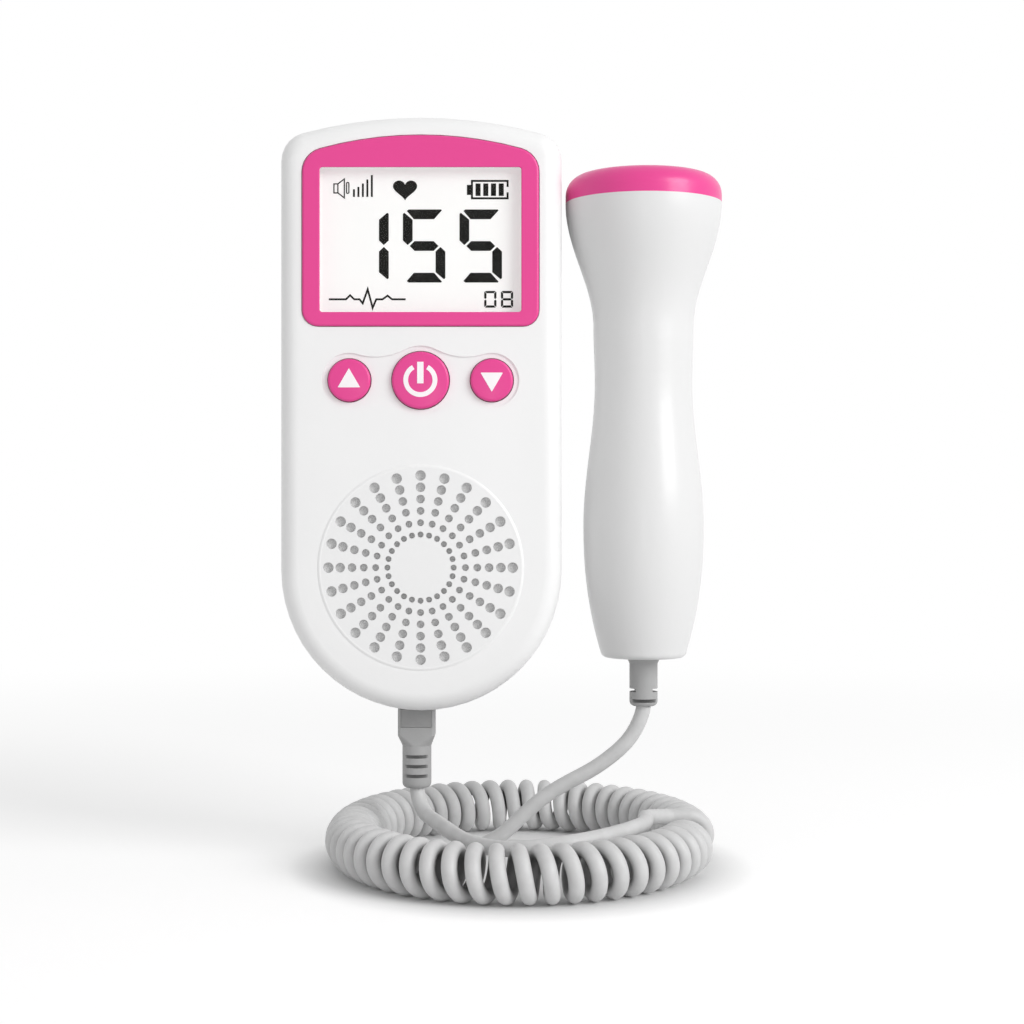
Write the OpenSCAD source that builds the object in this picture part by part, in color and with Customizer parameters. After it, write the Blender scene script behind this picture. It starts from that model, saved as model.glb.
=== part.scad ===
/* [Case] */
// Width of the monitor's case
case_w = 63; // [62:0.5:72]
// Height of the monitor's case
case_h = 132.4; // [132:0.1:148]
// Depth of the monitor's case, front to back
case_d = 28; // [28:0.5:32]
// Depth of the front shell, from the front face to the parting line
front_d = 18.5; // [18.3:0.1:19]
// Thickness of the case walls
case_wall = 2.2; // [2:0.1:2.4]
// Radius of the arched top edge
top_r = 104; // [90:1:150]
// Radius of the two top corners
top_corner_r = 6.8; // [6:0.1:9]
// Radius that rounds the front and back edges
edge_r = 4; // [3:0.1:4.2]
// How far the sides lean in towards the front face
side_draft = 0.4; // [0:0.1:0.6]

/* [Display] */
// Width of the coloured surround
bezel_w = 52.2; // [51:0.1:52.6]
// Height of the surround at the middle of its arched top
bezel_h = 42.1; // [41:0.1:43]
// Thickness of the surround
bezel_t = 1.6; // [1.5:0.1:1.8]
// How far the surround stands out of the front face
bezel_proud = 0.5; // [0.3:0.1:0.8]
// Radius of the surround's arched top
bezel_top_r = 84; // [70:1:120]
// Radius of the surround's top corners
bezel_corner_r = 5.3; // [4:0.1:7]
// Radius of the surround's bottom corners
bezel_foot_r = 3.5; // [2:0.1:5]
// Distance from the top of the case down to the top of the surround
bezel_drop = 4.9; // [4.8:0.1:6]
// Width of the view through the surround
view_w = 44.4; // [40:0.1:44.6]
// Height of the view through the surround
view_h = 31.9; // [30:0.1:32.5]
// Distance from the surround's lower edge up to the view
view_rise = 3.1; // [2.8:0.1:4]
// Thickness of the clear window
window_t = 1.2; // [0.9:0.1:1.2]
// Thickness of the display glass
lcd_t = 2.2; // [1.6:0.1:2.6]
// How far the display glass reaches past the view on each side
lcd_margin = 2.2; // [1.6:0.1:2.4]

/* [Keys] */
// Radius of the power key in the middle
power_key_r = 6.3; // [5.6:0.1:6.6]
// Radius of the up and down keys
side_key_r = 4.7; // [4.2:0.1:5]
// Distance between neighbouring keys
key_pitch = 15.7; // [15:0.1:16.5]
// Where the keys stand in the room between speaker and surround, 0 for lowest and 1 for highest
key_share = 0.72; // [0.4:0.01:0.9]
// How far the keys stand out of the front face
key_proud = 1.0; // [0.9:0.1:1.4]
// How far a key can be pressed
key_travel = 0.8; // [0.5:0.1:0.9]
// Height of a switch on the board
switch_h = 3.2; // [3:0.1:3.4]
// Depth of the shallow panel round the keys
panel_depth = 0.35; // [0.2:0.05:0.5]

/* [Speaker] */
// Radius of the perforated speaker disc
grille_r = 22.2; // [21.9:0.1:22.6]
// Thickness of the speaker disc
grille_t = 1.2; // [1:0.1:1.4]
// How far the disc stands out of the front face
grille_proud = 0.2; // [0.1:0.1:0.5]
// Rays of holes in the disc
grille_rays = 24; // [18:1:26]
// Holes along each ray
grille_rings = 6; // [4:1:6]
// Radius of the innermost ring of holes
grille_inner_r = 7.3; // [6.8:0.1:7.4]
// Distance between rings of holes
grille_pitch = 2.6; // [2.5:0.05:2.6]
// Radius of the smallest holes
hole_r0 = 0.66; // [0.5:0.02:0.7]
// How much larger each ring's holes are than the ring's inside them
hole_growth = 0.1; // [0.05:0.01:0.1]
// Height of the speaker's middle above the middle of the round foot
speaker_rise = 0.7; // [0.6:0.1:1.2]

/* [Battery] */
// Radius of a cell
cell_r = 5.25; // [5.1:0.05:5.25]
// Length of a cell with its cap
cell_len = 44.5; // [43.5:0.1:44.6]
// Distance between the two cells
cell_pitch = 11.6; // [11.2:0.1:12]
// Height of the battery bay's middle above the middle of the round foot
bay_rise = 9.7; // [9.5:0.1:10.5]
// Thickness of the battery cover
cover_t = 1.7; // [1.4:0.1:1.7]

/* [Sockets] */
// Radius of a jack pin, 3.5 mm across
jack_r = 1.75; // [1.7:0.01:1.76]
// Length of the probe plug's pin
pin_len = 13.4; // [12:0.1:14]
// Distance of the plug's axis from the middle of the case
plug_x = -1.5; // [-2:0.1:0]

/* [Probe] */
// Radius of the probe's head
head_r = 17.75; // [16.5:0.05:18.5]
// Radius of the probe's waist
waist_r = 11.05; // [10.8:0.05:12]
// Radius of the probe's belly
belly_r = 13.65; // [12.8:0.05:14.5]
// Radius of the probe's foot
foot_r = 9.8; // [8.5:0.1:11]
// Length of the probe without its strain relief
probe_len = 110.7; // [108:0.1:118]
// Length of the coloured cap at the head
cap_len = 7.5; // [7:0.1:9]
// Thickness of the probe's walls
probe_wall = 2; // [1.6:0.1:2.2]
// Gap between the case and the probe's head
probe_gap = 0.85; // [0.8:0.05:4]
// Distance from the top of the case down to the top of the probe
probe_drop = 10.3; // [5:0.1:13]
// Length of the strain relief below the probe
boot_len = 11.1; // [10.5:0.1:14]
// Radius of the strain relief on the probe
boot_r = 3.2; // [3:0.05:3.6]

/* [Plug and cord] */
// Width of the plug
plug_w = 8.4; // [8:0.1:8.8]
// Depth of the plug
plug_d = 6.4; // [6:0.1:6.8]
// Radius of the plug's strain relief
relief_r = 3.3; // [3:0.05:3.5]
// Diameter of the cord
cord_d = 3.4; // [3:0.1:3.4]
// Outer diameter of the curls
curl_d = 12.5; // [12:0.1:14]
// Distance from one curl to the next
curl_pitch = 4.6; // [4.6:0.05:4.8]
// Number of curls
curls = 54; // [50:1:54]
// Half the width of the ring that the curls lie in
ring_rx = 38; // [37:0.5:42]
// Half the depth of the ring that the curls lie in
ring_ry = 46; // [45:0.5:50]

/* [Hidden] */
$fn = 48;

// Finishes
shell_white = [0.93, 0.93, 0.93];
trim_pink = [0.91, 0.34, 0.60];
relief_grey = [0.62, 0.62, 0.62];
cord_grey = [0.78, 0.78, 0.78];

// Overlap of a cutting solid past the face that it cuts
cut = 1;
// Clearance round pieces that are dropped into a seat
seat_gap = 0.15;
// Clearance round a key, the battery cover and other pieces that move
slide_gap = 0.2;
// Clearance between flat faces of pieces that move
face_gap = 0.1;
// Steps of the case's outline: its round foot, its top corners and its arched top
foot_steps = 28;
corner_steps = 5;
arch_steps = 10;
edge_steps = 5;

// Planes of the case, from front to back, and heights of its outline's centres
front_y = -case_d;
parting_y = front_y + front_d;
wall_y = front_y + case_wall;
half_w = case_w / 2;
top_z = case_h / 2;
foot_z = -case_h / 2 + half_w;
arch_z = top_z - top_r;
corner_x = half_w - top_corner_r;
corner_z = arch_z + sqrt(pow(top_r - top_corner_r, 2) - pow(corner_x, 2));
corner_a = atan2(corner_z - arch_z, corner_x);

// Display: the surround, the view through it and the glass behind it
bezel_top_z = top_z - bezel_drop;
bezel_foot_z = bezel_top_z - bezel_h;
bezel_front_y = front_y - bezel_proud;
bezel_back_y = bezel_front_y + bezel_t;
view_z = bezel_foot_z + view_rise + view_h / 2;
view_lip = 1;
lcd_w = view_w + 2 * lcd_margin;
lcd_h = view_h + 2 * lcd_margin - 1.2;
lcd_y = wall_y + lcd_t;
holder_wall = 0.9;
holder_w = lcd_w + 2 * (holder_wall + seat_gap);
holder_h = lcd_h + 2 * (holder_wall + seat_gap);

// Circuit board
board_gap = 4.2;
board_y = lcd_y + board_gap;
board_t = 1.6;
board_back_y = board_y + board_t;
board_w = 52;
board_top_z = view_z + holder_h / 2 + 0.6;
ribbon_w = 16;
ribbon_t = 0.2;
ribbon_z = view_z - holder_h / 2 - 0.6;

// Speaker
speaker_z = foot_z + speaker_rise;
opening_r = grille_r - 0.6;
basket_r = opening_r + 0.8;
basket_rim_t = 1;
basket_rim_w = 2.6;
basket_sheet = 0.8;
basket_depth = 5.6;
basket_back_y = wall_y + basket_depth;
cone_dome_r = 5.5;
cone_skin = 0.4;
cone_depth = 3;
magnet_r = 9.5;
magnet_t = 2.4;
seat_ring_t = 1;
board_foot_z = speaker_z + basket_r + 2.6;

// Keys, each [x, radius]
flange_over = 1.2;
key_room_foot_z = speaker_z + basket_r + power_key_r + flange_over;
key_room_top_z = bezel_foot_z - power_key_r - flange_over;
key_z = key_room_foot_z + key_share * (key_room_top_z - key_room_foot_z);
UP = 0;
POWER = 1;
DOWN = 2;
keys = [[-key_pitch, side_key_r], [0, power_key_r], [key_pitch, side_key_r]];
key_front_y = front_y - key_proud;
key_edge_r = 0.5;
flange_t = 0.9;
flange_y = wall_y + face_gap;
stem_r = 2;
plunger_r = 1.6;
plunger_show = key_travel + slide_gap;
plunger_in = 1.7;
switch_w = 6;
switch_y = board_y - switch_h;
plunger_y = switch_y - plunger_show;
panel_margin = 1.35;
panel_blend_r = 13.8;

// Screws: case screws at the top and round the foot, board screws in posts of the front shell
boss_r = 2.6;
pilot_r = 1.0;
screw_shank_r = 0.95;
screw_head_r = 2.2;
screw_head_t = 1.5;
screw_sink = 2.6;
screw_len = 9;
boss_x = 19;
boss_top_drop = 5.6;
boss_ring_r = basket_r + seat_gap + seat_ring_t + boss_r + 0.45;
boss_foot_a = 39;
case_screw_xz = [
    for (side = [-1, 1]) [side * boss_x, top_z - boss_top_drop],
    for (side = [-1, 1])
        [side * boss_ring_r * sin(boss_foot_a), speaker_z - boss_ring_r * cos(boss_foot_a)]
];
post_r = 2;
post_pilot_r = 0.85;
post_x = board_w / 2 - 2.8;
post_upper_z = view_z - holder_h / 2 - post_r - 0.6;
post_lower_z = board_foot_z + 3;
board_screw_xz = [[-post_x, post_upper_z], [post_x, post_upper_z], [post_x, post_lower_z]];
board_screw_r = 0.8;
board_head_r = 1.6;
board_head_t = 1;
board_screw_grip = 3;

// Battery bay, the cells in it and the cover over it
bay_z = foot_z + bay_rise;
bay_wall = 1.2;
plate_t = 0.5;
leaf_len = 3.3;
cap_len_cell = 1.2;
cell_skin_y = -cover_t - 0.95;
cell_y = cell_skin_y - cell_r;
bay_half_w = (cell_len + leaf_len) / 2 + plate_t;
bay_half_h = cell_pitch / 2 + cell_r + 0.35;
bay_floor_y = cell_y - cell_r - seat_gap;
cover_ledge = 1.6;
cover_corner_r = 2.5;
nail_r = 6;
nail_depth = 1.2;

// Sockets: the probe's in the round foot, the headphones' in the left wall
socket_r = jack_r + 0.05;
case_mid_y = -case_d / 2;
plug_sink = 1.4;
plug_seat_z = -case_h / 2 + plug_sink;
nose_r = 3;
nose_gap = 0.1;
socket_w = 9;
socket_d = 7.6;
socket_end = 1;
socket_floor_z = -case_h / 2 + case_wall + 0.1;
phone_body_l = 12;
phone_body_h = 6;
phone_y = board_back_y + phone_body_h / 2;
phone_z = board_foot_z + 3.5;
phone_wall_x = -half_w + case_wall + 0.1;
phone_mouth_x = -half_w + 0.4;
phone_bore_l = 12.5;

// Probe: heights of its head, waist, belly and foot, upright beside the case
probe_x = half_w + probe_gap + head_r;
probe_y = case_mid_y;
probe_top_z = top_z - probe_drop;
probe_foot_z = probe_top_z - probe_len;
rim_z = probe_top_z - cap_len;
waist_hi_z = probe_foot_z + 0.676 * probe_len;
waist_lo_z = probe_foot_z + 0.565 * probe_len;
belly_z = probe_foot_z + 0.27 * probe_len;
profile_steps = 12;
belly_power = 2.2;
foot_edge_r = 1.5;
cap_edge_r = 4.6;
cap_crown = 1.1;
lens_t = 2.9;
spigot_t = 1.2;
spigot_len = 3.4;
crystal_t = 0.7;
crystal_gap = 0.8;
backing_len = 6;
rib_t = 1.2;
probe_board_w = 14;
probe_board_t = 1.2;
probe_board_len = 60;
boot_flange_r = 5;
boot_flange_t = 2;
boot_flare = 0.65;
boot_flare_len = 1.4;
boot_edge_r = 1.2;
slot_h = 0.75;

// Plug, below its seat in the round foot
plug_top_z = plug_seat_z - slide_gap;
plug_straight = 7.4;
plug_taper = 2.4;
plug_corner_r = 0.8;
relief_len = 9.6;
relief_top_z = plug_top_z - plug_straight - plug_taper;
relief_end_z = relief_top_z - relief_len;
relief_edge_r = 1.1;
relief_slots = 3;
relief_slot_pitch = 2.2;
pad_h = 4;
pad_t = 0.3;
pad_w = plug_w - 2 * plug_corner_r;

// Curly cord: a ring of curls that lies level under the case
ring_x = 22.1;
ring_y = -14;
ring_z = -95.45;
curl_r = (curl_d - cord_d) / 2;
curl_rings = 8;
curl_sides = 6;
lead_sides = 8;
lead_steps = 2;
ring_mean = (ring_rx + ring_ry) / 2;
ring_oval = (ring_ry - ring_rx) / (ring_ry + ring_rx);
ring_len = PI * (3 * (ring_rx + ring_ry) - sqrt((3 * ring_rx + ring_ry) * (ring_rx + 3 * ring_ry)));
// The last curl ends half a turn on, at the foot of the ring
last_curl = curls + 0.5;

// Route of the lead from the plug, between the straight ends at the strain relief and at the first curl
plug_route = [
    [0, -16, -89.6], [4, -24.5, -91], [9, -35, -92.4], [14.5, -44.5, -92.6],
    [21.5, -51.2, -91.9], [30.5, -51.4, -90.8], [38.5, -47.5, -90.1], [45, -41, -89.6],
    [49, -33.2, -89.5], [49.8, -25.5, -89.7], [50.6, -19, -90.4]
];
// Route of the lead to the probe, between the straight ends at the last curl and at the strain relief
probe_route = [
    [46.5, -21.2, -100], [40.5, -15.5, -100], [34, -9.2, -100], [26.5, -4.6, -100], [18.5, -2.4, -100],
    [11.5, -3.6, -100], [8.4, -8.6, -99.6], [11.4, -13, -98.6], [17.4, -14, -95.6], [22.6, -14, -90.8],
    [27.4, -14, -86.6], [32.6, -14, -83.4], [38.4, -14, -80.4], [43.4, -14, -76.8], [47.4, -14, -72.8]
];

function unit(v) = v / norm(v);

// Points on an arc in a plane, from step first to step last of n
function arc(c, r, a0, a1, n, first, last) =
    [for (i = [first : last]) let (a = a0 + (a1 - a0) * i / n) c + r * [cos(a), sin(a)]];

// The case's outline from the front, drawn in all round by inset
function case_outline(inset) = concat(
    arc([0, foot_z], half_w - inset, 180, 360, foot_steps, 0, foot_steps),
    arc([corner_x, corner_z], top_corner_r - inset, 0, corner_a, corner_steps, 0, corner_steps - 1),
    arc([0, arch_z], top_r - inset, corner_a, 180 - corner_a, arch_steps, 0, arch_steps),
    arc([-corner_x, corner_z], top_corner_r - inset, 180 - corner_a, 180, corner_steps, 1, corner_steps)
);

// Layers of a rounded face, each [depth below the face, inset], for a surface wall inside the outer one
function face_layers(wall, draft) = [
    for (k = [0 : edge_steps])
        let (a = 90 * k / edge_steps, r = edge_r - wall, depth = wall + r * (1 - cos(a)))
        [depth, wall + r * (1 - sin(a)) + draft * (1 - depth / front_d)]
];
function front_layers(wall, stop_y) = concat(
    [for (l = face_layers(wall, side_draft)) [front_y + l[0], l[1]]],
    [[stop_y, wall]]
);
function rear_layers(wall, stop_y) = concat(
    [[stop_y, wall]],
    [for (k = [edge_steps : -1 : 0]) let (l = face_layers(wall, 0)[k]) [-l[0], l[1]]]
);

// Solid through layers of the case's outline, from front to back
module loft(layers) {
    n = len(case_outline(0));
    last = (len(layers) - 1) * n;
    polyhedron(
        points = [for (l = layers) for (p = case_outline(l[1])) [p[0], l[0], p[1]]],
        faces = concat(
            [[for (i = [n - 1 : -1 : 0]) i]],
            [[for (i = [0 : n - 1]) last + i]],
            [for (k = [0 : len(layers) - 2]) for (i = [0 : n - 1])
                let (j = (i + 1) % n, a = k * n, b = a + n) [a + i, a + j, b + j, b + i]]
        )
    );
}

// Puts a solid that was drawn along Z into the case, along Y, at a point of the front view
module along_y(x, z, y = 0) {
    translate([x, y, z]) rotate([-90, 0, 0]) children();
}

module rod_y(x, z, y0, y1, r) {
    along_y(x, z, y0) cylinder(h = y1 - y0, r = r);
}

module block(x0, x1, y0, y1, z0, z1) {
    translate([x0, y0, z0]) cube([x1 - x0, y1 - y0, z1 - z0]);
}

// Plate drawn in the front view, between two depths
module plate(y0, y1) {
    translate([0, y1, 0]) rotate([90, 0, 0]) linear_extrude(y1 - y0) children();
}

module rounded_rect(w, h, r) {
    square([w - 2 * r, h], center = true);
    square([w, h - 2 * r], center = true);
    for (sx = [-1, 1]) for (sy = [-1, 1])
        translate([sx * (w / 2 - r), sy * (h / 2 - r)]) circle(r);
}

// The surround's outline: an arched top, round corners and a straight foot
function bezel_outline(grow) =
    let (
        hw = bezel_w / 2,
        cx = hw - bezel_corner_r,
        az = bezel_top_z - bezel_top_r,
        cz = az + sqrt(pow(bezel_top_r - bezel_corner_r, 2) - pow(cx, 2)),
        a = atan2(cz - az, cx),
        fx = hw - bezel_foot_r,
        fz = bezel_foot_z + bezel_foot_r
    )
    concat(
        arc([-fx, fz], bezel_foot_r + grow, 180, 270, 5, 0, 5),
        arc([fx, fz], bezel_foot_r + grow, 270, 360, 5, 0, 5),
        arc([cx, cz], bezel_corner_r + grow, 0, a, 6, 0, 5),
        arc([0, az], bezel_top_r + grow, a, 180 - a, 10, 0, 10),
        arc([-cx, cz], bezel_corner_r + grow, 180 - a, 180, 6, 1, 6)
    );

// Soft-cornered panel that runs round the three keys
module key_panel_outline(r_blend) {
    offset(r = -r_blend) offset(r = r_blend)
        for (k = keys) translate([k[0], key_z]) circle(k[1] + panel_margin);
}

module front_case() {
    color(shell_white)
    difference() {
        union() {
            difference() {
                loft(front_layers(0, parting_y));
                loft(front_layers(case_wall, parting_y + cut));
                block(plug_x - socket_w / 2 - face_gap, plug_x + socket_w / 2 + face_gap,
                    case_mid_y - socket_d / 2 - face_gap, parting_y + cut,
                    socket_floor_z, socket_floor_z + 3);
            }
            for (p = case_screw_xz) rod_y(p[0], p[1], wall_y - 0.7, parting_y, boss_r);
            for (p = board_screw_xz) rod_y(p[0], p[1], wall_y - 0.7, board_y, post_r);
            speaker_seat_ring();
        }
        plate(bezel_front_y - cut, bezel_back_y) polygon(bezel_outline(seat_gap));
        plate(bezel_back_y - cut, wall_y + cut)
            translate([0, view_z]) square([view_w + 0.8, view_h + 0.8], center = true);
        plate(front_y - cut, front_y + panel_depth) key_panel_outline(panel_blend_r);
        for (k = keys) rod_y(k[0], key_z, front_y - cut, wall_y + cut, k[1] + slide_gap);
        rod_y(0, speaker_z, front_y - cut, front_y - grille_proud + grille_t, grille_r + seat_gap);
        rod_y(0, speaker_z, front_y - cut, wall_y + cut, opening_r);
        for (p = case_screw_xz) rod_y(p[0], p[1], parting_y - screw_len, parting_y + cut, pilot_r);
        for (p = board_screw_xz)
            rod_y(p[0], p[1], board_y - board_screw_grip - 0.5, board_y + cut, post_pilot_r);
        socket_cuts();
    }
}

// Holes for the noses of both sockets, and the seat that the plug stands in
module socket_cuts() {
    translate([-half_w - cut, phone_y, phone_z]) rotate([0, 90, 0])
        cylinder(h = case_wall + 2 * cut, r = nose_r + nose_gap);
    translate([plug_x, case_mid_y, -case_h / 2 - cut])
        cylinder(h = case_wall + 2 * cut, r = nose_r + nose_gap);
    translate([plug_x, case_mid_y, -case_h / 2 - cut]) linear_extrude(plug_sink + cut)
        rounded_rect(plug_w + 2 * slide_gap, plug_d + 2 * slide_gap, plug_corner_r + slide_gap);
}

module speaker_seat_ring() {
    along_y(0, speaker_z) rotate_extrude()
        translate([basket_r + seat_gap, wall_y - 0.7])
        square([seat_ring_t, 0.7 + basket_rim_t + 1.2]);
}

module rear_case() {
    color(shell_white)
    difference() {
        union() {
            difference() {
                loft(rear_layers(0, parting_y));
                loft(rear_layers(case_wall, parting_y - cut));
            }
            block(-bay_half_w - bay_wall, bay_half_w + bay_wall, bay_floor_y - bay_wall, -case_wall / 2,
                bay_z - bay_half_h - bay_wall, bay_z + bay_half_h + bay_wall);
            for (p = case_screw_xz) rod_y(p[0], p[1], parting_y, cut / 10 - case_wall, boss_r);
        }
        socket_cuts();
        block(-bay_half_w, bay_half_w, bay_floor_y, cut, bay_z - bay_half_h, bay_z + bay_half_h);
        plate(-cover_t - face_gap, cut) translate([0, bay_z])
            rounded_rect(2 * (bay_half_w + cover_ledge), 2 * (bay_half_h + cover_ledge),
                cover_corner_r + slide_gap);
        rod_y(0, bay_z + bay_half_h + cover_ledge, -nail_depth, cut, nail_r);
        for (p = case_screw_xz) {
            rod_y(p[0], p[1], parting_y - cut, cut, screw_shank_r + slide_gap);
            rod_y(p[0], p[1], -screw_sink, cut, screw_head_r + slide_gap);
        }
    }
}

module display_bezel() {
    color(trim_pink)
    difference() {
        plate(bezel_front_y, bezel_back_y) polygon(bezel_outline(0));
        plate(bezel_front_y - cut, bezel_back_y + cut)
            translate([0, view_z]) rounded_rect(view_w, view_h, 0.6);
        plate(bezel_back_y - window_t, bezel_back_y + cut)
            translate([0, view_z]) square([view_w + 2 * view_lip, view_h + 2 * view_lip], center = true);
    }
}

module display_window() {
    color([0.85, 0.9, 0.92, 0.4]) {
        plate(bezel_back_y - window_t, bezel_back_y) translate([0, view_z])
            square([view_w + 2 * view_lip - 2 * seat_gap, view_h + 2 * view_lip - 2 * seat_gap], center = true);
        plate(bezel_back_y - window_t - 0.2, bezel_back_y - 0.1) translate([0, view_z])
            rounded_rect(view_w - 2 * seat_gap, view_h - 2 * seat_gap, 0.5);
    }
}

module lcd_panel() {
    color([0.9, 0.92, 0.9])
    plate(wall_y, lcd_y) translate([0, view_z]) square([lcd_w, lcd_h], center = true);
}

// Tray that holds the glass, with the light guide's hollow behind it and a way out for the ribbon
module lcd_holder() {
    color([0.96, 0.96, 0.94])
    difference() {
        plate(wall_y + seat_gap, board_y) translate([0, view_z])
            rounded_rect(holder_w, holder_h, 1);
        plate(wall_y - cut, lcd_y) translate([0, view_z])
            square([lcd_w + 2 * seat_gap, lcd_h + 2 * seat_gap], center = true);
        plate(lcd_y - cut, board_y - 1) translate([0, view_z])
            square([lcd_w - 4, lcd_h - 4], center = true);
        plate(wall_y - cut, board_y + cut) translate([0, view_z - holder_h / 2])
            square([ribbon_w + 2, 2 * (holder_wall + seat_gap)], center = true);
    }
}

// Flexible ribbon: down from the glass's lower edge, then back to the board
module lcd_ribbon() {
    bend = 1;
    y0 = wall_y + lcd_t / 2;
    z1 = view_z - lcd_h / 2;
    color([0.72, 0.5, 0.2])
    translate([-ribbon_w / 2, 0, 0]) rotate([90, 0, 90]) linear_extrude(ribbon_w)
        polygon(concat(
            [[y0 - ribbon_t, z1]],
            arc([y0 - ribbon_t + bend, ribbon_z + bend], bend, 180, 270, 5, 0, 5),
            [[board_y, ribbon_z], [board_y, ribbon_z + ribbon_t]],
            arc([y0 - ribbon_t + bend, ribbon_z + bend], bend - ribbon_t, 270, 180, 5, 0, 5),
            [[y0, z1]]
        ));
}

module main_board() {
    corner = 3;
    mid_z = (board_top_z + board_foot_z) / 2;
    color([0.1, 0.42, 0.22])
    difference() {
        plate(board_y, board_back_y) translate([0, mid_z])
            rounded_rect(board_w, board_top_z - board_foot_z, corner);
        for (p = board_screw_xz)
            rod_y(p[0], p[1], board_y - cut, board_back_y + cut, board_screw_r + seat_gap);
    }
}

// Processor, sound amplifier and memory, each [x, height over the view's middle, side], and two capacitors
chips = [[0, -2, 10], [-14, 4, 6], [13, -20, 7]];
chip_t = 1.2;
can_r = 3;
can_h = 6.5;
can_x = [13, 20];
can_rise = 4;

module board_parts() {
    color([0.12, 0.12, 0.13]) {
        for (c = chips)
            block(c[0] - c[2] / 2, c[0] + c[2] / 2, board_back_y, board_back_y + chip_t,
                view_z + c[1] - c[2] / 2, view_z + c[1] + c[2] / 2);
        for (x = can_x) rod_y(x, view_z + can_rise, board_back_y, board_back_y + can_h, can_r);
    }
}

module board_screws() {
    color([0.75, 0.75, 0.77])
    for (p = board_screw_xz) {
        rod_y(p[0], p[1], board_back_y, board_back_y + board_head_t, board_head_r);
        rod_y(p[0], p[1], board_y - board_screw_grip, board_back_y + 0.1, board_screw_r);
    }
}

module switch_bases() {
    color([0.15, 0.15, 0.16])
    for (k = keys) difference() {
        block(k[0] - switch_w / 2, k[0] + switch_w / 2, switch_y, board_y,
            key_z - switch_w / 2, key_z + switch_w / 2);
        rod_y(k[0], key_z, switch_y - cut, board_y - 0.5, plunger_r + slide_gap);
    }
}

// Round key with a softened rim, the flange that keeps it in the case and the stem behind it
module key_body(k) {
    color(trim_pink)
    along_y(k[0], key_z) rotate_extrude() polygon(concat(
        [[0, key_front_y]],
        arc([k[1] - key_edge_r, key_front_y + key_edge_r], key_edge_r, 270, 360, 5, 0, 5),
        [[k[1], flange_y], [k[1] + flange_over, flange_y], [k[1] + flange_over, flange_y + flange_t],
            [stem_r, flange_y + flange_t], [stem_r, plunger_y], [0, plunger_y]]
    ));
}

module key_plunger(k) {
    color([0.85, 0.85, 0.83])
    rod_y(k[0], key_z, plunger_y, switch_y + plunger_in, plunger_r);
}

module up_button() { key_body(keys[UP]); }
module power_button() { key_body(keys[POWER]); }
module down_button() { key_body(keys[DOWN]); }
module up_plunger() { key_plunger(keys[UP]); }
module power_plunger() { key_plunger(keys[POWER]); }
module down_plunger() { key_plunger(keys[DOWN]); }

// Disc drilled with rays of holes that grow outwards
module speaker_grille() {
    y0 = front_y - grille_proud;
    color(shell_white)
    difference() {
        rod_y(0, speaker_z, y0, y0 + grille_t, grille_r);
        for (ring = [0 : grille_rings - 1]) for (ray = [0 : grille_rays - 1])
            let (a = 360 * ray / grille_rays, r = grille_inner_r + grille_pitch * ring)
            rod_y(r * cos(a), speaker_z + r * sin(a), y0 - cut, y0 + grille_t + cut,
                hole_r0 + hole_growth * ring);
    }
}

module speaker_cloth() {
    y0 = front_y - grille_proud + grille_t;
    color([0.62, 0.62, 0.62])
    rod_y(0, speaker_z, y0, y0 + 0.3, opening_r - seat_gap);
}

module speaker_frame() {
    back_r = magnet_r + 2 * basket_sheet;
    inner_r = basket_r - basket_rim_w;
    rim_y = wall_y + basket_rim_t;
    color([0.55, 0.56, 0.58])
    along_y(0, speaker_z) rotate_extrude() polygon([
        [basket_r, wall_y], [basket_r, rim_y], [inner_r + basket_sheet, rim_y],
        [back_r, basket_back_y - basket_sheet], [back_r, basket_back_y], [0, basket_back_y],
        [0, basket_back_y - basket_sheet], [back_r - basket_sheet, basket_back_y - basket_sheet],
        [inner_r, rim_y], [inner_r, wall_y]
    ]);
}

// Paper cone with a dust dome and the coil's collar behind it
module speaker_cone() {
    rim_r = basket_r - basket_rim_w;
    fold = 4 * cone_skin;
    y0 = wall_y + cone_skin;
    y1 = y0 + cone_depth;
    collar_y = basket_back_y - basket_sheet;
    color([0.16, 0.16, 0.17])
    along_y(0, speaker_z) rotate_extrude() polygon([
        [rim_r, y0], [rim_r, y0 + cone_skin], [rim_r - fold, y0 + cone_skin], [cone_dome_r, y1],
        [cone_dome_r, collar_y], [cone_dome_r - cone_skin, collar_y], [cone_dome_r - cone_skin, y1],
        [cone_dome_r - fold, y1 - 3 * cone_skin], [0, y1 - fold], [0, y1 - fold - cone_skin],
        [cone_dome_r - fold, y1 - fold], [cone_dome_r, y1 - cone_skin], [rim_r - fold, y0]
    ]);
}

module speaker_magnet() {
    color([0.3, 0.3, 0.32])
    rod_y(0, speaker_z, basket_back_y, basket_back_y + magnet_t, magnet_r);
}

module probe_socket() {
    color([0.12, 0.12, 0.13])
    difference() {
        union() {
            block(plug_x - socket_w / 2, plug_x + socket_w / 2,
                case_mid_y - socket_d / 2, case_mid_y + socket_d / 2,
                socket_floor_z, plug_top_z + pin_len + socket_end);
            translate([plug_x, case_mid_y, plug_seat_z])
                cylinder(h = socket_floor_z - plug_seat_z + 0.5, r = nose_r);
        }
        translate([plug_x, case_mid_y, plug_seat_z - cut])
            cylinder(h = plug_top_z - plug_seat_z + pin_len + socket_end / 3 + cut, r = socket_r);
    }
}

module headphone_socket() {
    color([0.12, 0.12, 0.13])
    difference() {
        union() {
            block(phone_wall_x, phone_wall_x + phone_body_l, board_back_y, board_back_y + phone_body_h,
                phone_z - phone_body_h / 2, phone_z + phone_body_h / 2);
            translate([phone_mouth_x, phone_y, phone_z]) rotate([0, 90, 0])
                cylinder(h = phone_wall_x - phone_mouth_x + 0.5, r = nose_r);
        }
        translate([phone_mouth_x - cut, phone_y, phone_z]) rotate([0, 90, 0])
            cylinder(h = phone_bore_l + cut, r = socket_r);
    }
}

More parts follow.
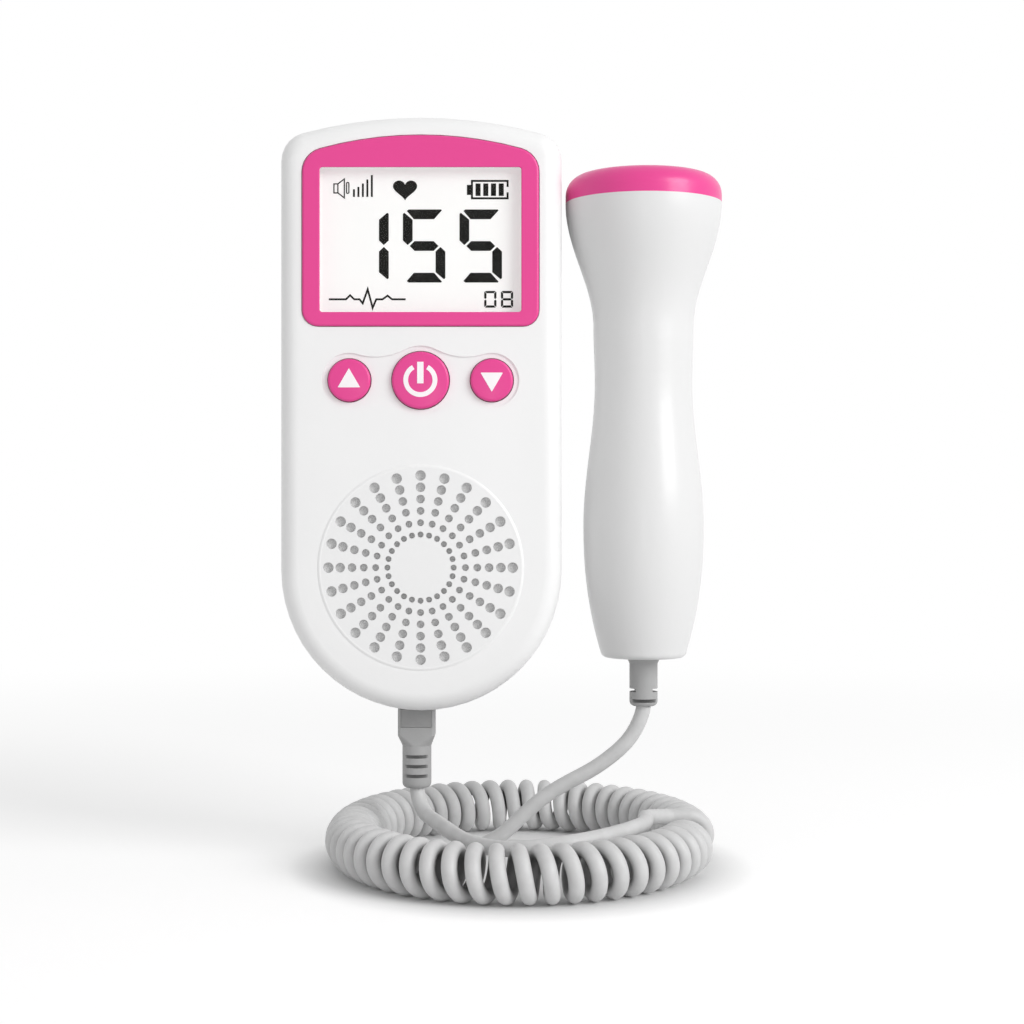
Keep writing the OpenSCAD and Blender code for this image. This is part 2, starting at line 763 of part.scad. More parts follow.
// Cell lying across the case, with its cap towards side
module cell(z, side) {
    x_cap = side * (bay_half_w - plate_t);
    x_shoulder = x_cap - side * cap_len_cell;
    x_base = x_cap - side * cell_len;
    color([0.45, 0.5, 0.56]) {
        translate([min(x_base, x_shoulder), cell_y, z]) rotate([0, 90, 0])
            cylinder(h = cell_len - cap_len_cell, r = cell_r);
        translate([min(x_cap, x_shoulder), cell_y, z]) rotate([0, 90, 0])
            cylinder(h = cap_len_cell, r = 1.9);
    }
}

module battery_upper() { cell(bay_z + cell_pitch / 2, 1); }
module battery_lower() { cell(bay_z - cell_pitch / 2, -1); }

// At each cell a flat plate at its cap, and a plate with a bowed leaf at its base
module battery_contacts() {
    plate_w = 8;
    leaf_w = 6;
    leaf_t = 0.35;
    leaf_r = 5;
    color([0.8, 0.8, 0.78])
    for (side = [-1, 1]) {
        z_cell = bay_z + side * cell_pitch / 2;
        for (end = [-1, 1]) block(min(end * bay_half_w, end * (bay_half_w - plate_t)),
            max(end * bay_half_w, end * (bay_half_w - plate_t)),
            cell_y - plate_w / 2, cell_y + plate_w / 2, z_cell - plate_w / 2, z_cell + plate_w / 2);
        intersection() {
            translate([-side * (bay_half_w - plate_t - leaf_len + leaf_r), cell_y, z_cell - leaf_w / 2])
                difference() {
                    cylinder(h = leaf_w, r = leaf_r);
                    translate([0, 0, -cut]) cylinder(h = leaf_w + 2 * cut, r = leaf_r - leaf_t);
                }
            block(min(-side * (bay_half_w - 0.1), 0), max(-side * (bay_half_w - 0.1), 0),
                cell_y - cell_r, cell_y + cell_r, z_cell - leaf_w, z_cell + leaf_w);
        }
    }
}

module battery_cover() {
    half_cover_w = bay_half_w + cover_ledge - slide_gap;
    half_cover_h = bay_half_h + cover_ledge - slide_gap;
    grooves = 5;
    groove_pitch = 1.6;
    color(shell_white)
    difference() {
        union() {
            plate(-cover_t, 0) translate([0, bay_z])
                rounded_rect(2 * half_cover_w, 2 * half_cover_h, cover_corner_r);
            for (x = [-10, 10]) block(x - 0.6, x + 0.6, cell_skin_y + 0.15, -cover_t + 0.2,
                bay_z - cell_pitch / 2 - 2, bay_z + cell_pitch / 2 + 2);
        }
        for (i = [0 : grooves - 1])
            block(-7, 7, -0.5, cut, bay_z + half_cover_h - 4 - groove_pitch * i - 0.35,
                bay_z + half_cover_h - 4 - groove_pitch * i + 0.35);
    }
}

module case_screws() {
    color([0.7, 0.7, 0.72])
    for (p = case_screw_xz) difference() {
        union() {
            rod_y(p[0], p[1], -screw_sink, -screw_sink + screw_head_t, screw_head_r);
            rod_y(p[0], p[1], parting_y - screw_len + 0.5, -screw_sink + 0.1, screw_shank_r);
        }
        for (turn = [0, 90]) along_y(p[0], p[1], -screw_sink + screw_head_t - 0.8)
            rotate([0, 0, turn]) translate([-1.3, -0.3, 0]) cube([2.6, 0.6, cut + 0.8]);
    }
}

// Blend from one radius to another over a share s from 0 to 1
function ease(r0, r1, s) = r0 + (r1 - r0) * (1 - cos(180 * s)) / 2;

// The probe's outer radius and height from the foot to the rim under the cap, each drawn in by inset
function probe_side(inset) = concat(
    [for (i = [0 : profile_steps]) let (s = 1 - i / profile_steps)
        [belly_r - (belly_r - foot_r) * pow(s, belly_power) - inset,
            belly_z - (belly_z - probe_foot_z - foot_edge_r) * s]],
    [for (i = [1 : profile_steps]) let (s = i / profile_steps)
        [ease(belly_r, waist_r, s) - inset, belly_z + (waist_lo_z - belly_z) * s]],
    [for (i = [1 : 4]) let (s = i / 4)
        [ease(waist_r, waist_r + 0.3, s) - inset, waist_lo_z + (waist_hi_z - waist_lo_z) * s]],
    [for (i = [1 : profile_steps]) let (s = i / profile_steps)
        [ease(waist_r + 0.3, head_r, s) - inset, waist_hi_z + (rim_z - waist_hi_z) * s]]
);

module probe_solid() {
    translate([probe_x, probe_y, 0]) rotate_extrude() polygon(concat(
        [[0, probe_foot_z]],
        arc([foot_r - foot_edge_r, probe_foot_z + foot_edge_r], foot_edge_r, 270, 360, 5, 0, 4),
        probe_side(0),
        [[0, rim_z]]
    ));
}

module probe_hollow() {
    floor_z = probe_foot_z + probe_wall + 0.4;
    side = [for (p = probe_side(probe_wall)) if (p[1] > floor_z) p];
    translate([probe_x, probe_y, 0]) rotate_extrude() polygon(concat(
        [[0, floor_z], [side[0][0], floor_z]], side,
        [[head_r - probe_wall, rim_z + cut], [0, rim_z + cut]]
    ));
}

// Ribs across the hollow that clamp the board on its seam plane
module probe_ribs() {
    for (z = [probe_foot_z + 0.42 * probe_len, probe_foot_z + 0.68 * probe_len])
        intersection() {
            probe_solid();
            translate([probe_x, probe_y, z - rib_t / 2]) cylinder(h = rib_t, r = head_r);
        }
}

// One half of the probe's housing, on one side of its seam
module probe_half(side) {
    reach = head_r + 2;
    color(shell_white)
    difference() {
        intersection() {
            union() {
                difference() {
                    probe_solid();
                    probe_hollow();
                }
                probe_ribs();
            }
            translate([probe_x - reach, probe_y + (side < 0 ? -reach : 0), probe_foot_z - cut])
                cube([2 * reach, reach, probe_len + 2 * cut]);
        }
        translate([probe_x, probe_y, probe_foot_z - cut])
            cylinder(h = probe_wall + 0.4 + 2 * cut, r = boot_r + 0.05);
        translate([probe_x, probe_y, probe_foot_z]) boot_flare_cone(0.05);
        block(probe_x - probe_board_w / 2 - seat_gap, probe_x + probe_board_w / 2 + seat_gap,
            probe_y - probe_board_t / 2 - 0.05, probe_y + probe_board_t / 2 + 0.05,
            probe_foot_z + 6, rim_z);
    }
}

module probe_front_shell() { probe_half(-1); }
module probe_rear_shell() { probe_half(1); }

module probe_cap() {
    cap_z = probe_top_z - cap_crown - cap_edge_r;
    crown_r = (pow(head_r - cap_edge_r, 2) + pow(cap_crown, 2)) / (2 * cap_crown);
    crown_a = asin((head_r - cap_edge_r) / crown_r);
    inner_r = head_r - probe_wall - seat_gap - spigot_t;
    lens_z = probe_top_z - lens_t;
    color(trim_pink)
    translate([probe_x, probe_y, 0]) rotate_extrude() polygon(concat(
        [[inner_r, rim_z - spigot_len], [head_r - probe_wall - seat_gap, rim_z - spigot_len],
            [head_r - probe_wall - seat_gap, rim_z], [head_r, rim_z]],
        arc([head_r - cap_edge_r, cap_z], cap_edge_r, 0, 90, 8, 0, 8),
        arc([0, probe_top_z - crown_r], crown_r, 90 - crown_a, 90, 4, 1, 4),
        [[0, lens_z], [inner_r, lens_z]]
    ));
}

// Two half discs behind the lens, one that sends and one that listens
module transducer_crystals() {
    r = head_r - probe_wall - seat_gap - spigot_t - 0.6;
    z1 = probe_top_z - lens_t;
    color([0.82, 0.78, 0.62])
    difference() {
        translate([probe_x, probe_y, z1 - crystal_t]) cylinder(h = crystal_t, r = r);
        block(probe_x - crystal_gap / 2, probe_x + crystal_gap / 2, probe_y - head_r, probe_y + head_r,
            z1 - crystal_t - cut, z1 + cut);
    }
}

module transducer_backing() {
    r = head_r - probe_wall - seat_gap - spigot_t - 0.2;
    z1 = probe_top_z - lens_t - crystal_t;
    color([0.35, 0.35, 0.37])
    translate([probe_x, probe_y, z1 - backing_len]) cylinder(h = backing_len, r = r);
}

module probe_board() {
    z1 = probe_top_z - lens_t - crystal_t - backing_len;
    color([0.1, 0.42, 0.22]) {
        block(probe_x - probe_board_w / 2, probe_x + probe_board_w / 2,
            probe_y - probe_board_t / 2, probe_y + probe_board_t / 2, z1 - probe_board_len, z1);
        for (z = [z1 - 8, z1 - 42])
            block(probe_x - 3, probe_x + 3, probe_y - probe_board_t / 2 - 1.2,
                probe_y - probe_board_t / 2 + 0.1, z - 3, z + 3);
    }
}

module boot_flare_cone(grow) {
    translate([0, 0, -boot_flare_len])
        cylinder(h = boot_flare_len, r1 = boot_r + grow, r2 = boot_r + boot_flare + grow);
}

// Moulded relief under the probe: a flange inside, a flare at the foot and slots that let it bend
module probe_relief() {
    end_z = probe_foot_z - boot_len;
    side_slot_z = end_z + 3.7;
    front_slot_z = end_z + 1.35;
    color(relief_grey)
    difference() {
        translate([probe_x, probe_y, 0]) union() {
            rotate_extrude() polygon(concat(
                [[0, end_z]],
                arc([boot_r - boot_edge_r, end_z + boot_edge_r], boot_edge_r, 270, 360, 5, 0, 5),
                [[boot_r, probe_foot_z + probe_wall + 0.4], [boot_flange_r, probe_foot_z + probe_wall + 0.4],
                    [boot_flange_r, probe_foot_z + probe_wall + 0.4 + boot_flange_t],
                    [0, probe_foot_z + probe_wall + 0.4 + boot_flange_t]]
            ));
            translate([0, 0, probe_foot_z]) boot_flare_cone(0);
        }
        for (side = [-1, 1]) {
            translate([probe_x + side * (boot_r + 1), probe_y, side_slot_z])
                cube([2 * 2.3, 2 * boot_r, slot_h], center = true);
            translate([probe_x, probe_y + side * (boot_r + 0.34), front_slot_z])
                cube([2 * boot_r, 2 * 2, slot_h], center = true);
        }
    }
}

module plug_shell() {
    color(relief_grey)
    difference() {
        union() {
            translate([plug_x, case_mid_y, plug_top_z - plug_straight]) linear_extrude(plug_straight)
                rounded_rect(plug_w, plug_d, plug_corner_r);
            hull() {
                translate([plug_x, case_mid_y, plug_top_z - plug_straight]) linear_extrude(0.1)
                    rounded_rect(plug_w, plug_d, plug_corner_r, $fn = 16);
                translate([plug_x, case_mid_y, relief_top_z]) cylinder(h = 0.1, r = relief_r, $fn = 32);
            }
        }
        for (side = [-1, 1])
            translate([plug_x, case_mid_y + side * plug_d / 2, plug_pad_z()])
                cube([pad_w + 2 * face_gap, 2 * pad_t, pad_h + 2 * face_gap], center = true);
    }
}

// Middle of the grip pads, just below the case
function plug_pad_z() = -case_h / 2 - 0.2 - pad_h / 2;

module plug_pads() {
    color([0.54, 0.54, 0.54])
    for (side = [-1, 1])
        translate([plug_x, case_mid_y + side * (plug_d - pad_t) / 2, plug_pad_z()])
            cube([pad_w, pad_t, pad_h], center = true);
}

// Jack pin with a tip and two rings
module plug_pin() {
    tip_r = 1;
    color([0.82, 0.8, 0.74])
    translate([plug_x, case_mid_y, plug_top_z]) rotate_extrude() polygon([
        [0, 0], [jack_r, 0], [jack_r, pin_len - 7.4], [jack_r - 0.15, pin_len - 7.2],
        [jack_r - 0.15, pin_len - 6.8], [jack_r, pin_len - 6.6], [jack_r, pin_len - 4.4],
        [jack_r - 0.15, pin_len - 4.2], [jack_r - 0.15, pin_len - 3.8], [jack_r, pin_len - 3.6],
        [jack_r, pin_len - 2.6], [tip_r, pin_len - 2], [jack_r - 0.3, pin_len - 1.2],
        [tip_r / 2, pin_len], [0, pin_len]
    ]);
}

module plug_relief() {
    slot_depth = relief_r - sqrt(pow(relief_r, 2) - pow(0.8 * relief_r, 2));
    color(relief_grey)
    difference() {
        translate([plug_x, case_mid_y, 0]) rotate_extrude() polygon(concat(
            [[0, relief_end_z]],
            arc([relief_r - relief_edge_r, relief_end_z + relief_edge_r], relief_edge_r, 270, 360, 5, 0, 5),
            [[relief_r, relief_top_z], [0, relief_top_z]]
        ));
        for (i = [0 : relief_slots - 1]) for (side = [-1, 1])
            translate([plug_x, case_mid_y + side * (relief_r + 2 - slot_depth),
                relief_top_z - 2.35 - relief_slot_pitch * i])
                cube([2 * relief_r, 4, slot_h], center = true);
    }
}

// Place on the curly cord's middle line after n curls. The curls wind about a level oval ring that
// starts at its right end and runs round behind; equal steps of n are near enough equal steps of arc.
function ring_turn(n) =
    let (u = 360 * n * curl_pitch / ring_len) u - ring_oval / 2 * 180 / PI * sin(2 * u);
function ring_out(n) = unit([ring_ry * cos(ring_turn(n)), ring_rx * sin(ring_turn(n)), 0]);
function curl_dir(n) = sin(360 * n) * ring_out(n) + cos(360 * n) * [0, 0, 1];
function curl_point(n) =
    [ring_x + ring_rx * cos(ring_turn(n)), ring_y + ring_ry * sin(ring_turn(n)), ring_z] + curl_r * curl_dir(n);
function curl_tangent(n) = unit(curl_point(n + 0.001) - curl_point(n - 0.001));

// Ends of the curly cord, straight for one diameter
coil_start = curl_point(0) - cord_d * curl_tangent(0);
coil_end = curl_point(last_curl) + cord_d * curl_tangent(last_curl);

// Least gap between one curl and the next, surface to surface
curl_gap = min([
    for (i = [0 : curls * curl_rings - curl_rings]) for (j = [6 : 10])
        norm(curl_point(i / curl_rings) - curl_point((i + j * curl_rings / 8) / curl_rings))
]) - cord_d;
echo(least_gap_between_curls = curl_gap);

// Directions along a path, square to its ends
function path_dirs(p) = [
    for (i = [0 : len(p) - 1]) unit(p[min(i + 1, len(p) - 1)] - p[max(i - 1, 0)])
];
// A side direction carried along the path with no twist
function carried(dirs, side, i = 0) = i == len(dirs) ? [] :
    let (s = unit(side - (side * dirs[i]) * dirs[i])) concat([s], carried(dirs, s, i + 1));

// One unbroken tube through points, with a direction and a side direction at each
module tube(points, dirs, sides_dir, r, sides) {
    n = len(points);
    end = (n - 1) * sides;
    polyhedron(
        points = [for (i = [0 : n - 1]) for (j = [0 : sides - 1])
            let (a = 360 * j / sides)
            points[i] + r * (cos(a) * sides_dir[i] + sin(a) * cross(dirs[i], sides_dir[i]))],
        faces = concat(
            [for (j = [1 : sides - 2]) [0, j, j + 1]],
            [for (j = [1 : sides - 2]) [end, end + j + 1, end + j]],
            [for (i = [0 : n - 2]) for (j = [0 : sides - 1])
                let (k = (j + 1) % sides, a = i * sides, b = a + sides) each
                [[a + j, b + j, b + k], [a + j, b + k, a + k]]]
        )
    );
}

// Slope of a bent run at its point i; the ends leave along the given directions
function slope(p, i, d0, d1) =
    i == 0 ? norm(p[1] - p[0]) * d0 :
    i == len(p) - 1 ? norm(p[i] - p[i - 1]) * d1 :
    (p[i + 1] - p[i - 1]) / 2;
// Smooth run through points, in lead_steps steps from each to the next
function bent(p, d0, d1) = concat(
    [for (i = [0 : len(p) - 2]) for (j = [0 : lead_steps - 1])
        let (s = j / lead_steps, m0 = slope(p, i, d0, d1), m1 = slope(p, i + 1, d0, d1))
        (2 * pow(s, 3) - 3 * pow(s, 2) + 1) * p[i] + (pow(s, 3) - 2 * pow(s, 2) + s) * m0
            + (3 * pow(s, 2) - 2 * pow(s, 3)) * p[i + 1] + (pow(s, 3) - pow(s, 2)) * m1],
    [p[len(p) - 1]]
);

// Lead from one place to another by a route, straight for one diameter at each end
module cord_lead(from, dir_from, route, to, dir_to, side) {
    p0 = from + cord_d * dir_from;
    p1 = to - cord_d * dir_to;
    points = concat([from], bent(concat([p0], route, [p1]), dir_from, dir_to), [to]);
    dirs = path_dirs(points);
    color(cord_grey) tube(points, dirs, carried(dirs, side), cord_d / 2, lead_sides);
}

module cord_plug_lead() {
    cord_lead([plug_x, case_mid_y, relief_end_z], [0, 0, -1], plug_route,
        coil_start, curl_tangent(0), [1, 0, 0]);
}

module cord_probe_lead() {
    cord_lead(coil_end, curl_tangent(last_curl), probe_route,
        [probe_x, probe_y, probe_foot_z - boot_len], [0, 0, 1], [0, 0, 1]);
}

module cord_coil() {
    steps = [for (i = [0 : last_curl * curl_rings]) i / curl_rings];
    points = concat([coil_start], [for (n = steps) curl_point(n)], [coil_end]);
    dirs = concat([curl_tangent(0)], [for (n = steps) curl_tangent(n)], [curl_tangent(last_curl)]);
    turns = concat([0], steps, [last_curl]);
    sides = [for (i = [0 : len(turns) - 1]) let (s = curl_dir(turns[i])) unit(s - (s * dirs[i]) * dirs[i])];
    color(cord_grey) tube(points, dirs, sides, cord_d / 2, curl_sides);
}

front_case();
rear_case();
display_bezel();
display_window();
lcd_panel();
lcd_holder();
lcd_ribbon();
main_board();
board_parts();
board_screws();
switch_bases();
up_button();
power_button();
down_button();
up_plunger();
power_plunger();
down_plunger();
speaker_grille();
speaker_cloth();
speaker_frame();
speaker_cone();
speaker_magnet();
probe_socket();
headphone_socket();
battery_upper();
battery_lower();
battery_contacts();
battery_cover();
case_screws();
probe_front_shell();
probe_rear_shell();
probe_cap();
transducer_crystals();
transducer_backing();
probe_board();
probe_relief();
plug_shell();
plug_pads();
plug_pin();
plug_relief();
cord_plug_lead();
cord_coil();
cord_probe_lead();
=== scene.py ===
"""Looks of a pocket heartbeat monitor, its ultrasound probe and its curly cord, over the CAD frame."""

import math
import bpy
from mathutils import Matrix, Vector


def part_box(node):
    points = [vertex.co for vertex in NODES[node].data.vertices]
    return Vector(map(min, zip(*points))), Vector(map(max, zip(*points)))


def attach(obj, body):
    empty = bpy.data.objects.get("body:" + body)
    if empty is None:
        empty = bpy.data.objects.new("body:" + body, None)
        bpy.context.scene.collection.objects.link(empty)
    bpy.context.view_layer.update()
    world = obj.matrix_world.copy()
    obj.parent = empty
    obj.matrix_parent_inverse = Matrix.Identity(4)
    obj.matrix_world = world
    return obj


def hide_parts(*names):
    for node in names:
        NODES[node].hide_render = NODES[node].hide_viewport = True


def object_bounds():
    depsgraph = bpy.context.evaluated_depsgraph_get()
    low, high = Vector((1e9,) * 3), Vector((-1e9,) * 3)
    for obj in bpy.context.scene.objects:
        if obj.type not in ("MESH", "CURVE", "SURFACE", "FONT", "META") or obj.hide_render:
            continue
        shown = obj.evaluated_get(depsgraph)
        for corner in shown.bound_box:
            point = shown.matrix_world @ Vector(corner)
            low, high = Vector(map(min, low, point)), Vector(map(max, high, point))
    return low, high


bl_info = {
    "name": "Heartbeat Monitor",
    "version": (1, 0, 0),
    "blender": (4, 5, 0),
    "location": "3D View > Sidebar > Monitor",
    "description": "Builds the finish of a pocket heartbeat monitor, its probe and its curly cord",
    "category": "Object",
}

import bpy
import numpy as np

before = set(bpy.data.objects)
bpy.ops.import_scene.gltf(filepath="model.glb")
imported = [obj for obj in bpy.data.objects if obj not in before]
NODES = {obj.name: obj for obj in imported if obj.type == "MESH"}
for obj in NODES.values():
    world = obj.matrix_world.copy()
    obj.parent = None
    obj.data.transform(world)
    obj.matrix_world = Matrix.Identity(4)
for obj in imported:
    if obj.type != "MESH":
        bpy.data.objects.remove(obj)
CAD_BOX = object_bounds()
MM = 0.001

# Places of the CAD frame that the pieces are built round, in millimetres
PARTING_Y = -9.5  # plane where the two case shells meet
VIEW = (0.0, 38.25)  # middle of the view through the surround, x and z
VIEW_SIZE = (44.4, 31.9)
GLASS_Y = -25.8  # front of the display glass
KEY_Z = 7.276
KEYS = {"up": (-15.7, 4.7), "power": (0.0, 6.3), "down": (15.7, 4.7)}  # x, radius
KEY_Y = -29.0  # crown of the keys
KEY_FLANGE = (1.2, -25.7, -24.8)  # how far it stands out from the key's side, front and back
KEY_STEM = 2.0  # radius
POWER_RING, POWER_GAP = 3.74, 29  # outer radius of the power mark, half its opening in degrees
SPEAKER_Z = -34.0
GRILLE_BEAD = [  # radius and depth of a bead that falls from the disc to the case
    (22.0, -28.1), (22.02, -28.2), (22.2, -28.23), (22.4, -28.2), (22.6, -28.1), (22.8, -28.01),
    (22.85, -27.9), (22.4, -27.85),
]
PROBE = (50.1, -14.0)  # axis of the probe, x and y
PLUG = (-1.5, -14.0)  # axis of the plug, x and y
PLUG_END_Z, PROBE_END_Z = -84.4, -65.9  # where the leads leave the two strain reliefs
# Radius and height of the probe's foot, belly, two ends of its waist, and head
PROBE_SIDE = [(9.8, -53.3), (13.65, -24.91), (11.05, 7.75), (11.35, 20.03), (17.75, 48.4)]
BOOT_RADIUS = 3.2  # of the relief under the probe
RING = (22.1, -14.0, -95.45)  # middle of the ring of curls
CAMERA = (20.15, -444, -21.75)  # it looks level along Y
FLOOR_RADIUS = 3000.0

# Route of the lead from the plug to the first curl, and of the lead from the last curl to the probe
PLUG_ROUTE = [
    (0, -16, -89.6), (4, -24.5, -91), (9, -35, -92.4), (14.5, -44.5, -92.6),
    (21.5, -51.2, -91.9), (30.5, -51.4, -90.8), (38.5, -47.5, -90.1), (45, -41, -89.6),
    (49, -33.2, -89.5), (49.8, -25.5, -89.7), (50.6, -19, -90.4),
]
PROBE_ROUTE = [
    (46.5, -21.2, -100), (40.5, -15.5, -100), (34, -9.2, -100), (26.5, -4.6, -100), (18.5, -2.4, -100),
    (11.5, -3.6, -100), (8.4, -8.6, -99.6), (11.4, -13, -98.6), (17.4, -14, -95.6), (22.6, -14, -90.8),
    (27.4, -14, -86.6), (32.6, -14, -83.4), (38.4, -14, -80.4), (43.4, -14, -76.8), (47.4, -14, -72.8),
]

# Signs of the display, in millimetres right of the middle of the view and above it
SIGN_FOOT = -12.9  # middle of the bottom line
BEAT = [
    (-20.4, 0), (-16.6, 0), (-15.7, 0.9), (-14.8, 0), (-13.6, 0), (-12.9, -0.9), (-11.8, 2.2),
    (-10.7, -1.9), (-9.9, 0), (-8.5, 0), (-7.4, 0.8), (-6.4, 0), (-3.4, 0),
]
HORN = [
    (-18.4, 10.65), (-19.27, 10.65), (-19.27, 12.65), (-18.4, 12.65),
    (-16.97, 13.75), (-16.97, 9.55), (-18.4, 10.65), (-18.4, 12.65),
]
SOUND_TOPS = (11.45, 11.98, 12.74, 13.62, 14.6)
BATTERY = [(19.18, 11.98), (19.18, 13.31), (11.29, 13.31), (11.29, 9.46), (19.18, 9.46), (19.18, 10.79)]


def linear(code):
    """Linear RGBA of an sRGB hex colour."""
    s = np.array([int(code[i : i + 2], 16) / 255 for i in (1, 3, 5)])
    c = np.where(s <= 0.04045, s / 12.92, ((s + 0.055) / 1.055) ** 2.4)
    return (*[float(v) for v in c], 1.0)


# ---- settings


def number(name, description, default, low=0, **more):
    """A setting that is a whole number when its default is one."""
    kind = bpy.props.IntProperty if isinstance(default, int) else bpy.props.FloatProperty
    return kind(name=name, description=description, default=default, min=low, **more)


def size(name, description, millimetres):
    return number(name, description, millimetres * MM, unit="LENGTH", precision=5)


def tint(name, description, code):
    return bpy.props.FloatVectorProperty(
        name=name, description=description, subtype="COLOR", size=4, min=0, max=1, default=linear(code)
    )


class CordSettings(bpy.types.PropertyGroup):
    """Sizes of the curly cord, which follow the CAD frame's."""

    diameter: size("Cord", "Diameter of the cord", 3.4)
    curl_diameter: size("Curl", "Outer diameter of a curl", 12.5)
    curl_pitch: size("Pitch", "Distance from one curl to the next", 4.6)
    ring_width: size("Ring width", "Half the width of the ring of curls", 38)
    ring_depth: size("Ring depth", "Half the depth of the ring of curls", 46)
    curls: number("Curls", "Number of curls in the ring", 54.5, 1)
    sides: number("Sides", "Sides of the cord's section", 16, 6)
    steps: number("Steps", "Rings of the mesh in one curl", 36, 12)
    colour: tint("Jacket", "Colour of the cord's jacket", "#D0D0D0")
    # Painted shade: how far the inside of each curl is darkened, where the coil shades itself
    painted_shade: number("Curl_shade", "How dark the inside of the curls is with dust", 0.78, max=1)


class DisplaySettings(bpy.types.PropertyGroup):
    """What the display shows and how its surround looks."""

    reading: number("Reading", "Number on the display", 155, max=199)
    level: number("Level", "Small number below the reading", 8, max=99)
    segment: size("Segment", "Width of a segment of the large digits", 2.15)
    edge: size("Surround edge", "Radius of the surround's outer edge", 0.55)
    trim: tint("Trim", "Colour of the surround, the keys and the probe's cap", "#E63E91")
    ink: tint("Segments", "Colour of the display's dark segments", "#1A1A18")
    glass: tint("Glass", "Colour of the display behind its segments", "#E0E0DE")
    backlight: number("Backlight", "Strength of the display's own light", 0.3, max=1)


class KeySettings(bpy.types.PropertyGroup):
    """Shape of the three keys and the marks on them."""

    crown: size("Crown", "How far a key's middle stands over its rim", 0.16)
    rim: size("Rim", "Radius of a key's rounded rim", 0.6)
    stroke: size("Stroke", "Line width of the power mark", 1.05)
    mark: tint("Marks", "Colour of the marks on the keys", "#FDF7FA")


class ShellSettings(bpy.types.PropertyGroup):
    """Finish of the housings and of the moulded reliefs."""

    body: tint("Housing", "Colour of the case and the probe", "#F2F2F2")
    relief: tint("Relief", "Colour of the plug and the strain reliefs", "#ABABAB")
    pad: tint("Grip pad", "Colour of the plug's grip pads", "#9C9C9C")
    groove: size("Groove", "Width of the line where the case shells meet", 0.16)


class StageSettings(bpy.types.PropertyGroup):
    """Camera, lamps and floor."""

    lens: number("Lens", "Focal length on a 36 mm sensor", 66.375, 1, unit="CAMERA")
    key_power: number("Key lamp", "Power of the large soft lamp on the right", 11.5, unit="POWER")
    strip_power: number("Strip lamp", "Power of the narrow lamp in front", 0.12, unit="POWER")
    ambient: number("Ambient", "Strength of the plain light from all round", 0.6, max=1)
    floor: tint("Floor", "Colour of the floor", "#EEEEEE")


# ---- materials


def add(tree, kind, inputs=None, stops=(), out=0, **settings):
    """Adds a node with its settings and returns one of its outputs. An input is a value, or the
    output that feeds it. stops are the places and colours of a colour ramp's two ends."""
    made = tree.nodes.new("ShaderNode" + kind)
    for key, value in settings.items():
        setattr(made, key, value)
    for key, value in (inputs or {}).items():
        if isinstance(value, bpy.types.NodeSocket):
            tree.links.new(value, made.inputs[key])
        else:
            made.inputs[key].default_value = value
    for k, (place, colour) in enumerate(stops):
        made.color_ramp.elements[k].position = place
        made.color_ramp.elements[k].color = colour
    return made.outputs[out] if made.outputs else None


def blank(name):
    """An empty material, its node tree and its Object coordinates."""
    made = bpy.data.materials.new(name)
    made.use_nodes = True
    tree = made.node_tree
    tree.nodes.clear()
    return made, tree, add(tree, "TexCoord", out="Object")


def shade(colour, factor):
    return (*[min(1.0, c * factor) for c in colour[:3]], 1.0)


def seen_by(tree, *kinds):
    """1 for rays of the given kinds and 0 for all others."""
    rays = add(tree, "LightPath").node.outputs
    seen = rays[kinds[0]]
    for kind in kinds[1:]:
        seen = add(tree, "Math", {0: seen, 1: rays[kind]}, operation="MAXIMUM")
    return seen


def surface(made, tree, skin, gloss, relief, inputs):
    """Finishes a material of one shader. skin is its colour. gloss is the value that varies its
    roughness, the two ends of that value and the roughness at each. relief is the height of a bump,
    its strength and its depth in millimetres."""
    names = ("Value", "From Min", "From Max", "To Min", "To Max")
    rough = add(tree, "MapRange", dict(zip(names, gloss)))
    height, strength, depth = relief
    normal = add(tree, "Bump", {"Height": height, "Strength": strength, "Distance": depth * MM})
    shown = {"Base Color": skin, "Roughness": rough, "Normal": normal, **inputs}
    add(tree, "OutputMaterial", {"Surface": add(tree, "BsdfPrincipled", shown)})
    return made


def curl_inner_shade(tree, place):
    """Mask of painted shade that the cord's mesh carries: high where the jacket faces the middle of its curl.
    """
    return add(tree, "Attribute", out="Fac", attribute_name="inside")


def slot_floor_shade(axis, radius, low, high, share=0.55):
    """Mask of painted shade for an upright round relief, in millimetres: share on the floors of its
    slots, where the distance from the axis falls short of the radius, and 0 on its skin and past low and
    high."""

    def mask(tree, place):
        centred = add(tree, "Mapping", {"Vector": place, "Location": (-axis[0] * MM, -axis[1] * MM, 0)})
        level = add(tree, "VectorMath", {0: centred, 1: (1, 1, 0)}, operation="MULTIPLY")
        away = add(tree, "VectorMath", {0: level}, out="Value", operation="LENGTH")
        limits = {"From Min": (radius - 0.1) * MM, "From Max": (radius - 0.4) * MM, "To Max": share}
        deep = add(tree, "MapRange", {"Value": away, **limits})
        height = add(tree, "SeparateXYZ", {0: place}, out="Z")
        band = {0: height, 1: (low + high) / 2 * MM, 2: (high - low) / 2 * MM}
        within = add(tree, "Math", band, operation="COMPARE")
        return add(tree, "Math", {0: deep, 1: within}, operation="MULTIPLY")

    return mask


